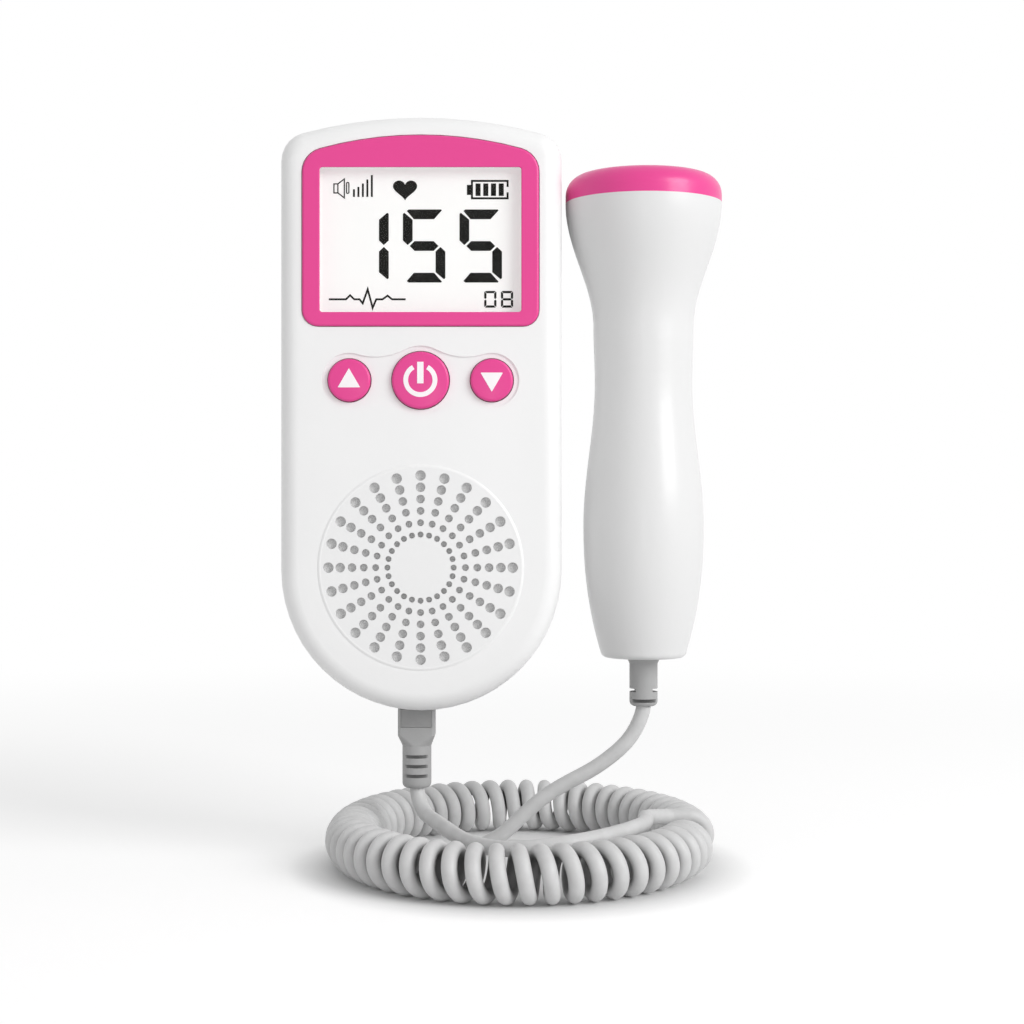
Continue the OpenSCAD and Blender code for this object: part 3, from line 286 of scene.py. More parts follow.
def moulded(
    name, colour, rough=0.36, tone=0.985, patch=14.0, grain=0.7, relief=0.012,
    coat=0.0, shine=0.5, glow=0.0, painted_shade=None,
):
    """Injection-moulded plastic. The colour drifts slightly over patches as the melt flowed, and the
    tool's fine texture gives a small bump and a roughness that varies. Sizes in millimetres. A real
    spark-eroded grain is about 0.1 mm and is drawn coarser, as fine as the render can show. The last
    argument adds the nodes of a mask from 0 to 1, and where it is high the plastic is painted dark as shade."""
    made, tree, place = blank(name)
    broad = {"Vector": place, "Scale": 1 / (patch * MM), "Detail": 2.0, "Roughness": 0.5}
    close = {"Vector": place, "Scale": 1 / (grain * MM), "Detail": 3.0, "Roughness": 0.6}
    fine = add(tree, "TexNoise", close)
    ends = (0.35, shade(colour, tone)), (0.65, colour)
    skin = add(tree, "ValToRGB", {"Fac": add(tree, "TexNoise", broad)}, ends)
    if painted_shade:
        # Painted shade: where the mask is high the colour is mixed towards a tenth of itself
        painted_dark = {0: painted_shade(tree, place), 6: skin, 7: shade(colour, 0.1)}
        skin = add(tree, "Mix", painted_dark, out=2, data_type="RGBA")
    gloss = (fine, 0.3, 0.7, rough - 0.04, rough + 0.05)
    others = {
        "IOR": 1.5, "Coat Weight": coat, "Coat Roughness": 0.12, "Specular IOR Level": shine,
        "Emission Color": (1, 1, 1, 1), "Emission Strength": glow,
    }
    return surface(made, tree, skin, gloss, (fine, 0.5, relief), others)


def plated(name, colour, rough=0.28, scratch=0.25):
    """Plated or bare metal, turned or pressed: fine streaks in the plating vary its roughness, and
    the colour dulls a little in patches where it is handled. Sizes in millimetres."""
    made, tree, place = blank(name)
    drawn = add(tree, "Mapping", {"Vector": place, "Scale": (1.0, 1.0, 0.12)})
    streaks = add(tree, "TexNoise", {"Vector": drawn, "Scale": 1 / (scratch * MM), "Detail": 3.0})
    patch = add(tree, "TexNoise", {"Vector": place, "Scale": 1 / (3 * MM), "Detail": 2.0})
    skin = add(tree, "ValToRGB", {"Fac": patch}, [(0.35, shade(colour, 0.86)), (0.7, colour)])
    gloss = (streaks, 0.3, 0.7, rough - 0.06, rough + 0.1)
    return surface(made, tree, skin, gloss, (streaks, 0.3, 0.01), {"Metallic": 1.0})


def glass_fibre_board(name, colour):
    """Glass-fibre circuit board under solder mask: the weave of its cloth, 0.5 mm a thread, shows
    through the mask as a faint check, and the mask is glossy. Tracks raise it in paler lines."""
    made, tree, place = blank(name)
    upright = add(tree, "Mapping", {"Vector": place, "Rotation": (math.radians(90), 0, 0)})
    lines = {"Scale": 1 / (3.2 * MM), "Mortar Size": 0.03, "Mortar Smooth": 0.1, "Mortar": shade(colour, 1.6)}
    sides = {"Color1": colour, "Color2": shade(colour, 0.8)}
    tracks = add(tree, "TexBrick", {"Vector": upright, **sides, **lines}, offset=0.37)
    threads = {"Vector": place, "Scale": 1 / (0.5 * MM) / 6.3, "Distortion": 0.4}
    warp = add(tree, "TexWave", threads, out="Fac", bands_direction="X")
    relief = (tracks.node.outputs["Fac"], 0.4, 0.03)
    return surface(made, tree, tracks, (warp, 0.0, 1.0, 0.24, 0.36), relief, {"IOR": 1.5})


def woven(name, colour, thread=0.55):
    """Plain-woven dust cloth. Two waves across each other lift warp and weft by turns, and the gaps
    between threads are painted darker as shade, over a random fuzz of tone. Real threads are 0.2 mm and are
    drawn coarser so that they show."""
    made, tree, place = blank(name)
    # A wave node's bands are 0.314 of its unit apart
    threads = {"Vector": place, "Scale": 0.314 / (thread * MM)}
    across, along = [add(tree, "TexWave", threads, out="Fac", bands_direction=way) for way in "XZ"]
    weave = add(tree, "Math", {0: across, 1: along}, operation="MULTIPLY")
    fuzz = add(tree, "TexNoise", {"Vector": place, "Scale": 1 / (1.5 * MM), "Detail": 3.0})
    height = add(tree, "Math", {0: weave, 1: 0.3, 2: fuzz}, operation="MULTIPLY_ADD")
    skin = add(tree, "ValToRGB", {"Fac": height}, [(0.3, shade(colour, 0.86)), (0.8, colour)])
    sheen = {"Sheen Weight": 0.2, "Sheen Roughness": 0.5}
    return surface(made, tree, skin, (fuzz, 0.0, 1.0, 0.8, 0.95), (weave, 0.6, 0.06), sheen)


def clear_acrylic(name):
    """Clear moulded acrylic with an anti-reflection coat. Acrylic's own IOR is 1.49, and 1.1 stands
    for the coat, so that the flat window mirrors little and shows the display behind it. A faint
    swirl from wiping varies its gloss. Lamps' rays pass it, so it darkens nothing."""
    made, tree, place = blank(name)
    swirl = add(tree, "TexNoise", {"Vector": place, "Scale": 1 / (8 * MM), "Detail": 4.0, "Distortion": 1.5})
    rough = add(tree, "MapRange", {"Value": swirl, "To Min": 0.02, "To Max": 0.06})
    clean = {"Base Color": (1, 1, 1, 1), "Roughness": rough, "IOR": 1.1, "Transmission Weight": 1.0}
    clear = add(tree, "BsdfTransparent", {"Color": (0.97, 0.97, 0.97, 1)})
    soft = seen_by(tree, "Is Shadow Ray", "Is Diffuse Ray")
    mixed = add(tree, "MixShader", {0: soft, 1: add(tree, "BsdfPrincipled", clean), 2: clear})
    add(tree, "OutputMaterial", {"Surface": mixed})
    return made


# ---- meshes


def unit(v):
    return v / np.linalg.norm(v, axis=-1, keepdims=True)


def dot(a, b):
    return np.einsum("ij,ij->i", a, b)


def volume(points, faces):
    """Signed volume: the fan of triangles of each face in arrays of faces, against the origin."""
    total = 0.0
    for f in faces:
        for k in range(1, f.shape[1] - 1):
            second, third = points[f[:, k]], points[f[:, k + 1]]
            total += float(dot(points[f[:, 0]], np.cross(second, third)).sum())
    return total / 6


def ring_solid(rings, start=None, end=None, loop=False):
    """A closed surface through rings of points, an array of rings by points by xyz. Each ring is a
    closed loop. The first and last close at a pole, or the last joins the first if loop is set."""
    rows, cols = rings.shape[:2]
    points = rings.reshape(-1, 3)
    r = np.arange(rows if loop else rows - 1)[:, None] * cols
    c = np.arange(cols)
    after = (c + 1) % cols
    below = (r + cols) % (rows * cols)
    faces = [np.stack([r + c, r + after, below + after, below + c], -1).reshape(-1, 4)]
    if not loop:
        start = rings[0].mean(0) if start is None else np.array(start, float)
        end = rings[-1].mean(0) if end is None else np.array(end, float)
        last, n = (rows - 1) * cols, len(points)
        points = np.vstack([points, start, end])
        faces.append(np.stack([after, c, np.full(cols, n)], -1))
        faces.append(np.stack([last + c, last + after, np.full(cols, n + 1)], -1))
    if volume(points, faces) < 0:
        faces = [f[:, ::-1] for f in faces]
    return points, faces


def mesh_of(name, points, faces, material):
    made = bpy.data.meshes.new(name)
    made.from_pydata((points * MM).tolist(), [], faces)
    made.validate()
    made.materials.append(material)
    return made


def put(name, data):
    """A new object in the scene that holds the data."""
    made = bpy.data.objects.new(name, data)
    bpy.context.scene.collection.objects.link(made)
    return made


def piece(name, solids, material, body, angle=35.0, replaced=()):
    """One mesh object from closed solids in millimetres, smooth but for edges sharper than angle."""
    offset, faces = 0, []
    for points, own in solids:
        for group in own:
            faces += (group + offset).tolist()
        offset += len(points)
    made = put(name, mesh_of(name, np.vstack([points for points, _ in solids]), faces, material))
    soften(made, angle)
    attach(made, body)
    if replaced:
        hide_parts(*replaced)
    return made


def soften(thing, angle, weld=False):
    """Smooth shading that keeps edges sharper than angle and flat faces flat."""
    polygons = thing.data.polygons
    polygons.foreach_set("use_smooth", np.ones(len(polygons), bool))
    if weld:
        thing.modifiers.new("Weld", "WELD").merge_threshold = 0.002 * MM
    thing.modifiers.new("Edges", "EDGE_SPLIT").split_angle = math.radians(angle)
    thing.modifiers.new("Flats", "WEIGHTED_NORMAL").keep_sharp = True


def dress(names, material, angle=35.0):
    """Gives CAD nodes a material and smooth shading. Their meshes stay as they are."""
    for name in names.split():
        node = NODES[name]
        if node.material_slots:
            for held in node.material_slots:
                held.material = material
        else:
            node.data.materials.append(material)
        soften(node, angle, weld=True)


def arc(centre, radius, a0, a1, count):
    """Points on a circle in a plane from angle a0 to a1 in degrees."""
    a = np.radians(np.linspace(a0, a1, count))
    return np.column_stack([centre[0] + radius * np.cos(a), centre[1] + radius * np.sin(a)])


def rounded_box(width, height, radius, centre=(0.0, 0.0), count=9):
    """Outline of a rectangle whose corners are quarter circles."""
    x, z = width / 2 - radius, height / 2 - radius
    corners = [((x, z), 0), ((-x, z), 90), ((-x, -z), 180), ((x, -z), 270)]
    return np.vstack([arc(c, radius, a, a + 90, count) for c, a in corners]) + np.array(centre)


def arched_top(half, top, radius, corner, grow, count):
    """Right corner, arch and left corner of an outline of half a width, grown all round. The arch's
    radius is large, and it touches both corners."""
    x, z = half - corner, top - radius
    level = z + math.sqrt((radius - corner) ** 2 - x**2)
    a = math.degrees(math.atan2(level - z, x))
    return [
        arc((x, level), corner + grow, 0, a, count)[:-1], arc((0, z), radius + grow, a, 180 - a, 40),
        arc((-x, level), corner + grow, 180 - a, 180, count)[1:],
    ]


def from_front(outline, y):
    """Puts an outline of the front view into space. y is a number, an array, or a function of the
    outline's points that gives one."""
    depth = y(outline) if callable(y) else y
    return np.column_stack([outline[:, 0], np.broadcast_to(depth, len(outline)), outline[:, 1]])


def turned(profile, x, z, step=5):
    """Surface of revolution about the line along Y through x and z, with a point every few degrees.
    profile is points of radius and depth."""
    p, a = np.asarray(profile, float), np.radians(np.arange(0, 360, step))
    return np.stack([x + p[:, :1] * np.cos(a), p[:, 1:] + 0 * a, z + p[:, :1] * np.sin(a)], axis=-1)


def travelled(points):
    """Distance along a line from its start to each of its points."""
    return np.concatenate([[0], np.cumsum(np.linalg.norm(np.diff(points, axis=0), axis=1))])


def places(points, run, at):
    """Points at the given distances along a line. run is what travelled says of it."""
    return np.column_stack([np.interp(at, run, column) for column in points.T])


def dense(outline, step=0.05):
    """A closed outline with a point about every step along its sides."""
    closed = np.vstack([outline, outline[:1]])
    run = travelled(closed)
    return places(closed, run, np.linspace(0, run[-1], max(8, int(run[-1] / step)), endpoint=False))


def seen_from(outline, centre, angles):
    """Where rays from centre at the given angles meet an outline that goes once round it."""
    ray = dense(outline) - centre
    a, r = np.arctan2(ray[:, 1], ray[:, 0]), np.linalg.norm(ray, axis=1)
    order = np.argsort(a)
    r = np.interp(angles, a[order], r[order], period=2 * math.pi)
    return np.column_stack([centre[0] + r * np.cos(angles), centre[1] + r * np.sin(angles)])


def flat_mark(outline, front, back):
    """A thin solid whose outline is star-shaped round its own middle. Each face has a second ring
    half way in. front and back are depths, or functions of x and z that give them."""
    outline = np.asarray(outline, float)
    middle = outline.mean(0)
    inner = middle + 0.5 * (outline - middle)
    rings = [from_front(p, y) for p, y in ((inner, front), (outline, front), (outline, back), (inner, back))]
    return ring_solid(np.stack(rings), *[from_front(middle[None, :], y)[0] for y in (front, back)])


def stroke(points, width, front, back):
    """A thin strip of constant width along a line of points, with square ends. At each corner it is
    mitred: the offset runs along the mean of both normals and is longer by one over its cosine."""
    p = np.asarray(points, float)
    step = unit(np.diff(p, axis=0))
    normal = step @ np.array([[0, 1], [-1, 0]])
    before, after = np.vstack([normal[:1], normal]), np.vstack([normal, normal[-1:]])
    mean = unit(before + after)
    reach = width / 2 / dot(mean, after)[:, None]
    left, right = p + mean * reach, p - mean * reach
    sides = (left, front), (right, front), (right, back), (left, back)
    return ring_solid(np.stack([from_front(q, y) for q, y in sides], axis=1))


# ---- cord


def hermite(points, first, last, steps):
    """Smooth run through points: between neighbours a cubic whose slope at a point is half the
    distance between the points on either side of it, and at the ends the given directions."""
    p = np.asarray(points, float)
    m = np.empty_like(p)
    m[1:-1] = (p[2:] - p[:-2]) / 2
    m[0] = np.linalg.norm(p[1] - p[0]) * first
    m[-1] = np.linalg.norm(p[-1] - p[-2]) * last
    s = (np.arange(steps) / steps)[None, :, None]
    a, b, c, d = p[:-1, None], m[:-1, None], p[1:, None], m[1:, None]
    run = (
        (2 * s**3 - 3 * s**2 + 1) * a + (s**3 - 2 * s**2 + s) * b
        + (3 * s**2 - 2 * s**3) * c + (s**3 - s**2) * d
    )
    return np.vstack([run.reshape(-1, 3), p[-1:]])


def stiffened(run, first, last, reach=2.2, step=0.6):
    """The run as a cord of some stiffness lies: even steps along it, each point the mean of its
    neighbours weighted by a bell curve of width reach. The ends stay, with straight runs past them."""
    along = travelled(run)
    count = int(along[-1] / step) + 1
    at = np.linspace(0, along[-1], count)
    even = places(run, along, at)
    pad = int(4 * reach / step)
    k = np.arange(1, pad + 1)[:, None] * (along[-1] / (count - 1))
    long = np.vstack([(even[0] - k * first)[::-1], even, even[-1] + k * last])
    bell = np.exp(-0.5 * (np.arange(-pad, pad + 1) * step / reach) ** 2)
    soft = np.column_stack([np.convolve(long[:, j], bell / bell.sum(), "valid") for j in range(3)])
    # The straight runs pull the ends aside a little, and this brings them back over the first steps
    hold = np.exp(-((at / (1.2 * reach)) ** 2))[:, None]
    return soft + hold * (even[0] - soft[0]) + hold[::-1] * (even[-1] - soft[-1])


def curl_points(n, cord, share=1.0):
    """Middle line of the curls after n of them. The ring is a level oval. Each curl turns in the
    plane of the ring's outward normal and the upright, once per curl. share is that of the curl's
    own radius, and 0 gives the line that the curls go round."""
    rx, ry = cord.ring_width / MM, cord.ring_depth / MM
    around = math.pi * (3 * (rx + ry) - math.sqrt((3 * rx + ry) * (rx + 3 * ry)))
    u = 2 * math.pi * n * (cord.curl_pitch / MM) / around
    t = u - (ry - rx) / (ry + rx) / 2 * np.sin(2 * u)
    out = unit(np.column_stack([ry * np.cos(t), rx * np.sin(t), 0 * t]))
    up = np.array([0.0, 0.0, 1.0])
    turn = 2 * math.pi * n[:, None]
    reach = share * (cord.curl_diameter - cord.diameter) / MM / 2
    oval = np.column_stack([rx * np.cos(t), ry * np.sin(t), 0 * t]) + np.array(RING)
    return oval + reach * (np.sin(turn) * out + np.cos(turn) * up)


def cord_path(cord):
    """The whole middle line in millimetres: plug lead, curls and probe lead. With it goes, for each
    point, the point of the line that its curl goes round. On the leads that is the point itself."""
    d = cord.diameter / MM
    n = np.linspace(0, cord.curls, int(round(cord.curls * cord.steps)) + 1)
    coil = curl_points(n, cord)
    near = curl_points(np.array([-0.001, 0.001, cord.curls - 0.001, cord.curls + 0.001]), cord)
    t0, t1 = unit(near[1] - near[0]), unit(near[3] - near[2])
    start, end = coil[0] - d * t0, coil[-1] + d * t1
    down, up = np.array([0.0, 0, -1]), np.array([0.0, 0, 1])
    plug = np.array([*PLUG, PLUG_END_Z])
    probe = np.array([*PROBE, PROBE_END_Z])
    lead_in = stiffened(hermite([plug, *PLUG_ROUTE, start], down, t0, 12), down, t0)
    lead_out = stiffened(hermite([end, *PROBE_ROUTE, probe], t1, up, 12), t1, up)
    inside = np.clip(np.minimum(n, cord.curls - n) / 0.4, 0, 1)[:, None]
    core = coil + inside * (curl_points(n, cord, 0.0) - coil)
    return np.vstack([lead_in, coil, lead_out]), np.vstack([lead_in, core, lead_out])


def tube(path, radius, sides):
    """A round profile carried along a path. Each ring's first direction starts square to the path
    and is turned by the running sum of what it would twist against the ring before, so that the
    tube has no twist."""
    tangent = unit(np.gradient(path, axis=0))
    guess = unit(np.cross(tangent, np.array([0.31, 0.87, 0.38])))
    other = np.cross(tangent, guess)
    moved = guess[:-1] - dot(guess[:-1], tangent[1:])[:, None] * tangent[1:]
    twist = np.arctan2(dot(moved, other[1:]), dot(moved, guess[1:]))
    turn = np.concatenate([[0], np.cumsum(twist)])[:, None]
    first = np.cos(turn) * guess + np.sin(turn) * other
    second = np.cross(tangent, first)
    a = (2 * math.pi * np.arange(sides) / sides)[None, :, None]
    rings = path[:, None] + radius * (np.cos(a) * first[:, None] + np.sin(a) * second[:, None])
    return ring_solid(rings, path[0], path[-1])


class MONITOR_OT_cord(bpy.types.Operator):
    """Builds the curly cord with its two leads as one tube"""

    bl_idname = "monitor.cord"
    bl_label = "Curly Cord"

    def execute(self, context):
        cord = context.scene.monitor_cord
        path, core = cord_path(cord)
        # Extruded PVC jacket, satin and a little uneven where the curls were wound hot. Painted shade
        # darkens the inside of the curls, where the coil shades itself.
        jacket = moulded(
            "pvc_cord_jacket", cord.colour, rough=0.46, tone=0.93, patch=3.0, grain=0.8,
            relief=0.02, painted_shade=curl_inner_shade,
        )
        points, faces = tube(path, cord.diameter / MM / 2, cord.sides)
        made = piece(
            "curly_cord", [(points, faces)], jacket, "probe_set",
            angle=60, replaced=("cord_plug_lead", "cord_coil", "cord_probe_lead"),
        )
        # How squarely the jacket faces the middle of its curl: the cosine of the angle between them
        middle = np.repeat(path, cord.sides, axis=0)
        reach = (cord.curl_diameter - cord.diameter) / MM / 2
        inwards = (np.repeat(core, cord.sides, axis=0) - middle) / reach
        facing = dot(unit(points[:-2] - middle), inwards)
        # Painted shade, strongest where the jacket faces the middle of its curl
        held = np.append(np.clip(cord.painted_shade * facing / 0.7, 0, cord.painted_shade), [0, 0])
        made.data.attributes.new("inside", "FLOAT", "POINT").data.foreach_set("value", held)
        length = float(travelled(path)[-1]) * MM
        if not 1.6 < length < 2.0:
            raise RuntimeError(f"the cord came out {length:.3f} m long")
        return {"FINISHED"}


# ---- display


def surround_outline(grow):
    """The surround's outline: arched top of radius 84, corners of 5.3 and 3.5, grown all round."""
    half, low, corner = 26.1, 19.2, 3.5
    x, z = half - corner, low + corner
    foot = [arc((side, z), corner + grow, a, a + 90, 10) for side, a in ((-x, 180), (x, 270))]
    return np.vstack(foot + arched_top(half, 61.3, 84.0, 5.3, grow, 12))


def view_outline(grow, corner=0.6):
    """The view through the surround, a rectangle with small corners, grown all round."""
    width, height = VIEW_SIZE
    return rounded_box(width + 2 * grow, height + 2 * grow, max(0.05, corner + grow), VIEW)


def seven_segments(digit, right, middle, height, width, thick, gap=0.1):
    """Outlines of a digit's lit segments. The bars' ends are mitred, and gap parts the uprights."""
    lit = {
        "0": "abcdef", "1": "bc", "2": "abged", "3": "abgcd", "4": "fgbc",
        "5": "afgcd", "6": "afgedc", "7": "abc", "8": "abcdefg", "9": "abcdfg",
    }[digit]
    left, top, foot = right - width, middle + height / 2, middle - height / 2
    # Corners as shares of the thickness, from the digit's sides and from its top, foot and middle
    across = [(0.4, -0.15), (0.6, 0), (-0.42, 0), (-0.36, -0.1), (-1.17, -1), (1.13, -1)]
    crossbar = [(0.7, 0), (1.2, 0.5), (-1.2, 0.5), (-0.7, 0), (-1.2, -0.5), (1.2, -0.5)]
    upright = [(0, -0.45), (0.15, -0.34), (1, -1.06)]
    waist = [(1, 0.57), (0.5, gap), (0, 0.57)]

    def bar(corners, level, up):
        return [((left if x > 0 else right) + x * thick, level + up * z * thick) for x, z in corners]

    def post(side, inwards, end, up):
        corners = [(x, end + up * z * thick) for x, z in upright]
        corners += [(x, middle + up * z * thick) for x, z in waist]
        return [(side + inwards * x * thick, z) for x, z in corners]

    bars = {
        "a": bar(across, top, 1), "d": bar(across, foot, -1), "g": bar(crossbar, middle, 1),
        "f": post(left, 1, top, 1), "b": post(right, -1, top, 1),
        "e": post(left, 1, foot, -1), "c": post(right, -1, foot, -1),
    }
    return [np.array(bars[s]) for s in lit]


def block(x, half, low, high):
    """Outline of an upright bar of the display, in millimetres from the middle of the view."""
    x0, x1, z0, z1 = VIEW[0] + x - half, VIEW[0] + x + half, VIEW[1] + low, VIEW[1] + high
    return np.array([(x0, z0), (x1, z0), (x1, z1), (x0, z1)])


class MONITOR_OT_display(bpy.types.Operator):
    """Builds the coloured surround and the dark segments on the display glass"""

    bl_idname = "monitor.display"
    bl_label = "Display"

    def execute(self, context):
        look = context.scene.monitor_display
        # Glossy ABS moulding: saturated colour under a shiny skin
        trim = moulded(
            "pink_abs_trim", look.trim, rough=0.33, patch=24.0, grain=0.8, relief=0.003, coat=0.08
        )
        self.surround(look.edge / MM, trim)
        # Dyed liquid crystal between the glass sheets: near black and matt
        ink = moulded(
            "display_ink", look.ink, rough=0.5, tone=0.8, patch=4.0, grain=0.5, relief=0.002, shine=0.1
        )
        piece("display_segments", self.marks(look), ink, "monitor")
        # White reflector behind the liquid crystal: even, faintly cloudy and weakly lit from behind
        glass = moulded(
            "lcd_reflector", look.glass, rough=0.3, patch=9.0, grain=0.6, relief=0.002,
            shine=0.1, glow=look.backlight,
        )
        dress("lcd_panel", glass)
        dress("display_window", clear_acrylic("clear_acrylic"))
        return {"FINISHED"}

    def surround(self, edge, trim):
        """A frame whose section goes round from its back, up the view's side to a small lip, over
        the front and down a rounded outer edge. Each ring is where rays from the middle meet it."""
        centre = np.array(VIEW)
        sides = [surround_outline(0), view_outline(0)]
        ways = np.vstack(sides + [dense(sides[1], 2.0), dense(sides[0], 2.5)]) - centre
        angles = np.unique(np.round(np.arctan2(ways[:, 1], ways[:, 0]), 4))
        lip, skirt, front, back = 0.22, 1.2, -28.5, -26.9
        rim = np.radians(np.linspace(0, 90, 7))
        inner = view_outline(1.0, -0.95)
        rows = [(inner, back), (inner, back - skirt), (view_outline(0), back - skirt)]
        rows += [(view_outline(lip * (1 - math.cos(a))), front + lip * (1 - math.sin(a))) for a in rim]
        rows += [(surround_outline(-edge * (1 - math.sin(a))), front + edge * (1 - math.cos(a))) for a in rim]
        rows += [(sides[0], back)]
        rings = np.stack([from_front(seen_from(o, centre, angles), y) for o, y in rows])
        piece(
            "display_surround", [ring_solid(rings, loop=True)], trim, "monitor", angle=50,
            replaced=("display_bezel",),
        )

    def marks(self, look):
        """The lit segments as thin solids just in front of the glass."""
        cx, cz = VIEW
        front, back = GLASS_Y - 0.06, GLASS_Y - 0.01
        # Text, right side, middle, step from digit to digit, height, width and thickness
        numbers = [
            (f"{look.reading}", 17.93, -1.1, 12.54, 16.17, 9.4, look.segment / MM),
            (f"{look.level:02d}", 20.4, SIGN_FOOT, 3.7, 3.7, 2.7, 0.5),
        ]
        shapes = []
        for text, right, middle, pitch, *sizes in numbers:
            for place, digit in enumerate(text[::-1]):
                shapes += seven_segments(digit, cx + right - pitch * place, cz + middle, *sizes)
        solids = [flat_mark(outline, front, back) for outline in shapes]
        # Trace of a heartbeat, and a loudspeaker of box, flare and wave as fine lines
        wave = rounded_box(0.52, 2.4, 0.2, (-16.22, 11.76), 4)
        beat = np.array(BEAT) + [0, SIGN_FOOT]
        for line, width in ((beat, 0.42), (HORN, 0.26), (np.vstack([wave, wave[:1]]), 0.24)):
            solids.append(stroke(np.array(line) + VIEW, width, front, back))
        # Bars of the sound level, each taller than the last
        shapes = [block(-14.84 + 0.99 * k, 0.21, 9.77, top) for k, top in enumerate(SOUND_TOPS)]
        # Heart: x is the cube of a sine, z a sum of four cosines
        a = np.linspace(0, 2 * math.pi, 48, endpoint=False)
        lobes = (13 * np.cos(a) - 5 * np.cos(2 * a) - 2 * np.cos(3 * a) - np.cos(4 * a)) * 0.155
        shapes.append(np.column_stack([2.68 * np.sin(a) ** 3, lobes]) + [cx - 3.53, cz + 11.55])
        solids += [flat_mark(outline, front, back) for outline in shapes]
        # Battery: a frame open at its right side, a nub and four bars
        solids.append(stroke(np.array(BATTERY) + VIEW, 0.44, front, back))
        shapes = [block(10.625, 0.445, 10.21, 12.43)]
        shapes += [block(12.64 + 1.71 * k, 0.56, 9.99, 12.74) for k in range(4)]
        return solids + [flat_mark(outline, front, back) for outline in shapes]


# ---- keys


def key_profile(radius, crown, rim, back):
    """Radius and depth of a key. From near its middle the face falls off by the square of the
    radius to a quarter-round rim. Then come the straight side, the flange that holds it in the
    case, and its stem."""
    flat, low = radius - rim, KEY_Y + crown
    s, a = np.linspace(0.12, 1, 9), np.radians(np.linspace(90, 0, 9))[1:]
    face = np.column_stack([flat * s, KEY_Y + crown * s * s])
    edge = np.column_stack([flat + rim * np.cos(a), low + rim * (1 - np.sin(a))])
    out, y0, y1 = KEY_FLANGE
    side = [(radius, y0), (radius + out, y0), (radius + out, y1), (KEY_STEM, y1), (KEY_STEM, back)]
    return np.vstack([face, edge, side])


def over_key(x, flat, crown, shift):
    """Depth of a key's face, moved by shift, as a function of points of x and z."""

    def depth(p):
        away = (p[:, 0] - x) ** 2 + (p[:, 1] - KEY_Z) ** 2
        return KEY_Y + crown * np.minimum(1, away / flat**2) + shift

    return depth


class MONITOR_OT_keys(bpy.types.Operator):
    """Builds the three round keys with their raised white marks"""

    bl_idname = "monitor.keys"
    bl_label = "Keys"

    def execute(self, context):
        look = context.scene.monitor_keys
        trim = bpy.data.materials.get("pink_abs_trim")
        if trim is None:
            raise RuntimeError("build the display first: the keys share its colour")
        # White ink printed on the keys, thick enough to see its edge
        white = moulded(
            "white_key_print", look.mark, rough=0.42, tone=0.97, patch=2.5, grain=0.4, relief=0.004
        )
        crown, rim, line = look.crown / MM, look.rim / MM, look.stroke / MM
        for name, (x, radius) in KEYS.items():
            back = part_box(f"{name}_button")[1][1] / MM
            rings = turned(key_profile(radius, crown, rim, back), x, KEY_Z)
            solid = ring_solid(rings, (x, KEY_Y, KEY_Z), (x, back, KEY_Z))
            piece(
                f"{name}_key", [solid], trim, f"{name}_key",
                angle=40, replaced=(f"{name}_button",),
            )
            proud, sunk = [over_key(x, radius - rim, crown, shift) for shift in (-0.05, 0.1)]
            if name == "power":
                ring = arc((x, KEY_Z), POWER_RING - line / 2, 90 + POWER_GAP, 450 - POWER_GAP, 60)
                bar = [(x, KEY_Z + z) for z in (-0.75, 1.2, 2.6, 4.0)]
                marks = [stroke(ring, line, proud, sunk), stroke(bar, 1.4, proud, sunk)]
            else:
                up = 1 if name == "up" else -1
                corners = np.array([(0, 2.6 * up), (-2.48, -1.63 * up), (2.48, -1.63 * up)]) + [x, KEY_Z]
                marks = [flat_mark(dense(corners, 0.3), proud, sunk)]
            piece(f"{name}_mark", marks, white, f"{name}_key")
        return {"FINISHED"}


# ---- housings


def case_outline():
    """The case where its shells meet: a half circle of radius 31.5 at the foot, straight sides,
    corners of 6.8 and an arched top of radius 104."""
    return np.vstack([arc((0, -34.7), 31.5, 180, 360, 60)] + arched_top(31.5, 66.2, 104.0, 6.8, 0.0, 14))


def probe_side():
    """Radius and height up the probe's side. From the foot to the belly the radius falls off by the
    power 2.2 of the distance, and above it half a cosine wave blends each radius into the next."""
    (r0, z0), (r1, z1) = PROBE_SIDE[:2]
    s = np.linspace(1, 0, 24)
    runs = [np.column_stack([r1 - (r1 - r0) * s**2.2, z1 - (z1 - z0) * s])]
    for (ra, za), (rb, zb) in zip(PROBE_SIDE[1:], PROBE_SIDE[2:]):
        s = np.linspace(0, 1, 25)[1:]
        runs.append(np.column_stack([ra + (rb - ra) * (1 - np.cos(math.pi * s)) / 2, za + (zb - za) * s]))
    return np.vstack(runs)


def seam_line(outline, y, width, closed):
    """A thin strip over the line where two shells meet. Its section is a rectangle on the outline,
    which runs against the clock: 0.02 outside it, along the normal, and 0.15 inside."""
    p = np.vstack([outline[-1:], outline, outline[:1]]) if closed else outline
    t = unit(np.gradient(p, axis=0))
    p, t = (p[1:-1], t[1:-1]) if closed else (p, t)
    outward = np.column_stack([t[:, 1], -t[:, 0]])
    sides = [(0.02, -0.5), (0.02, 0.5), (-0.15, 0.5), (-0.15, -0.5)]
    rings = np.stack([from_front(p + grow * outward, y + half * width) for grow, half in sides], axis=1)
    return ring_solid(rings, loop=closed)


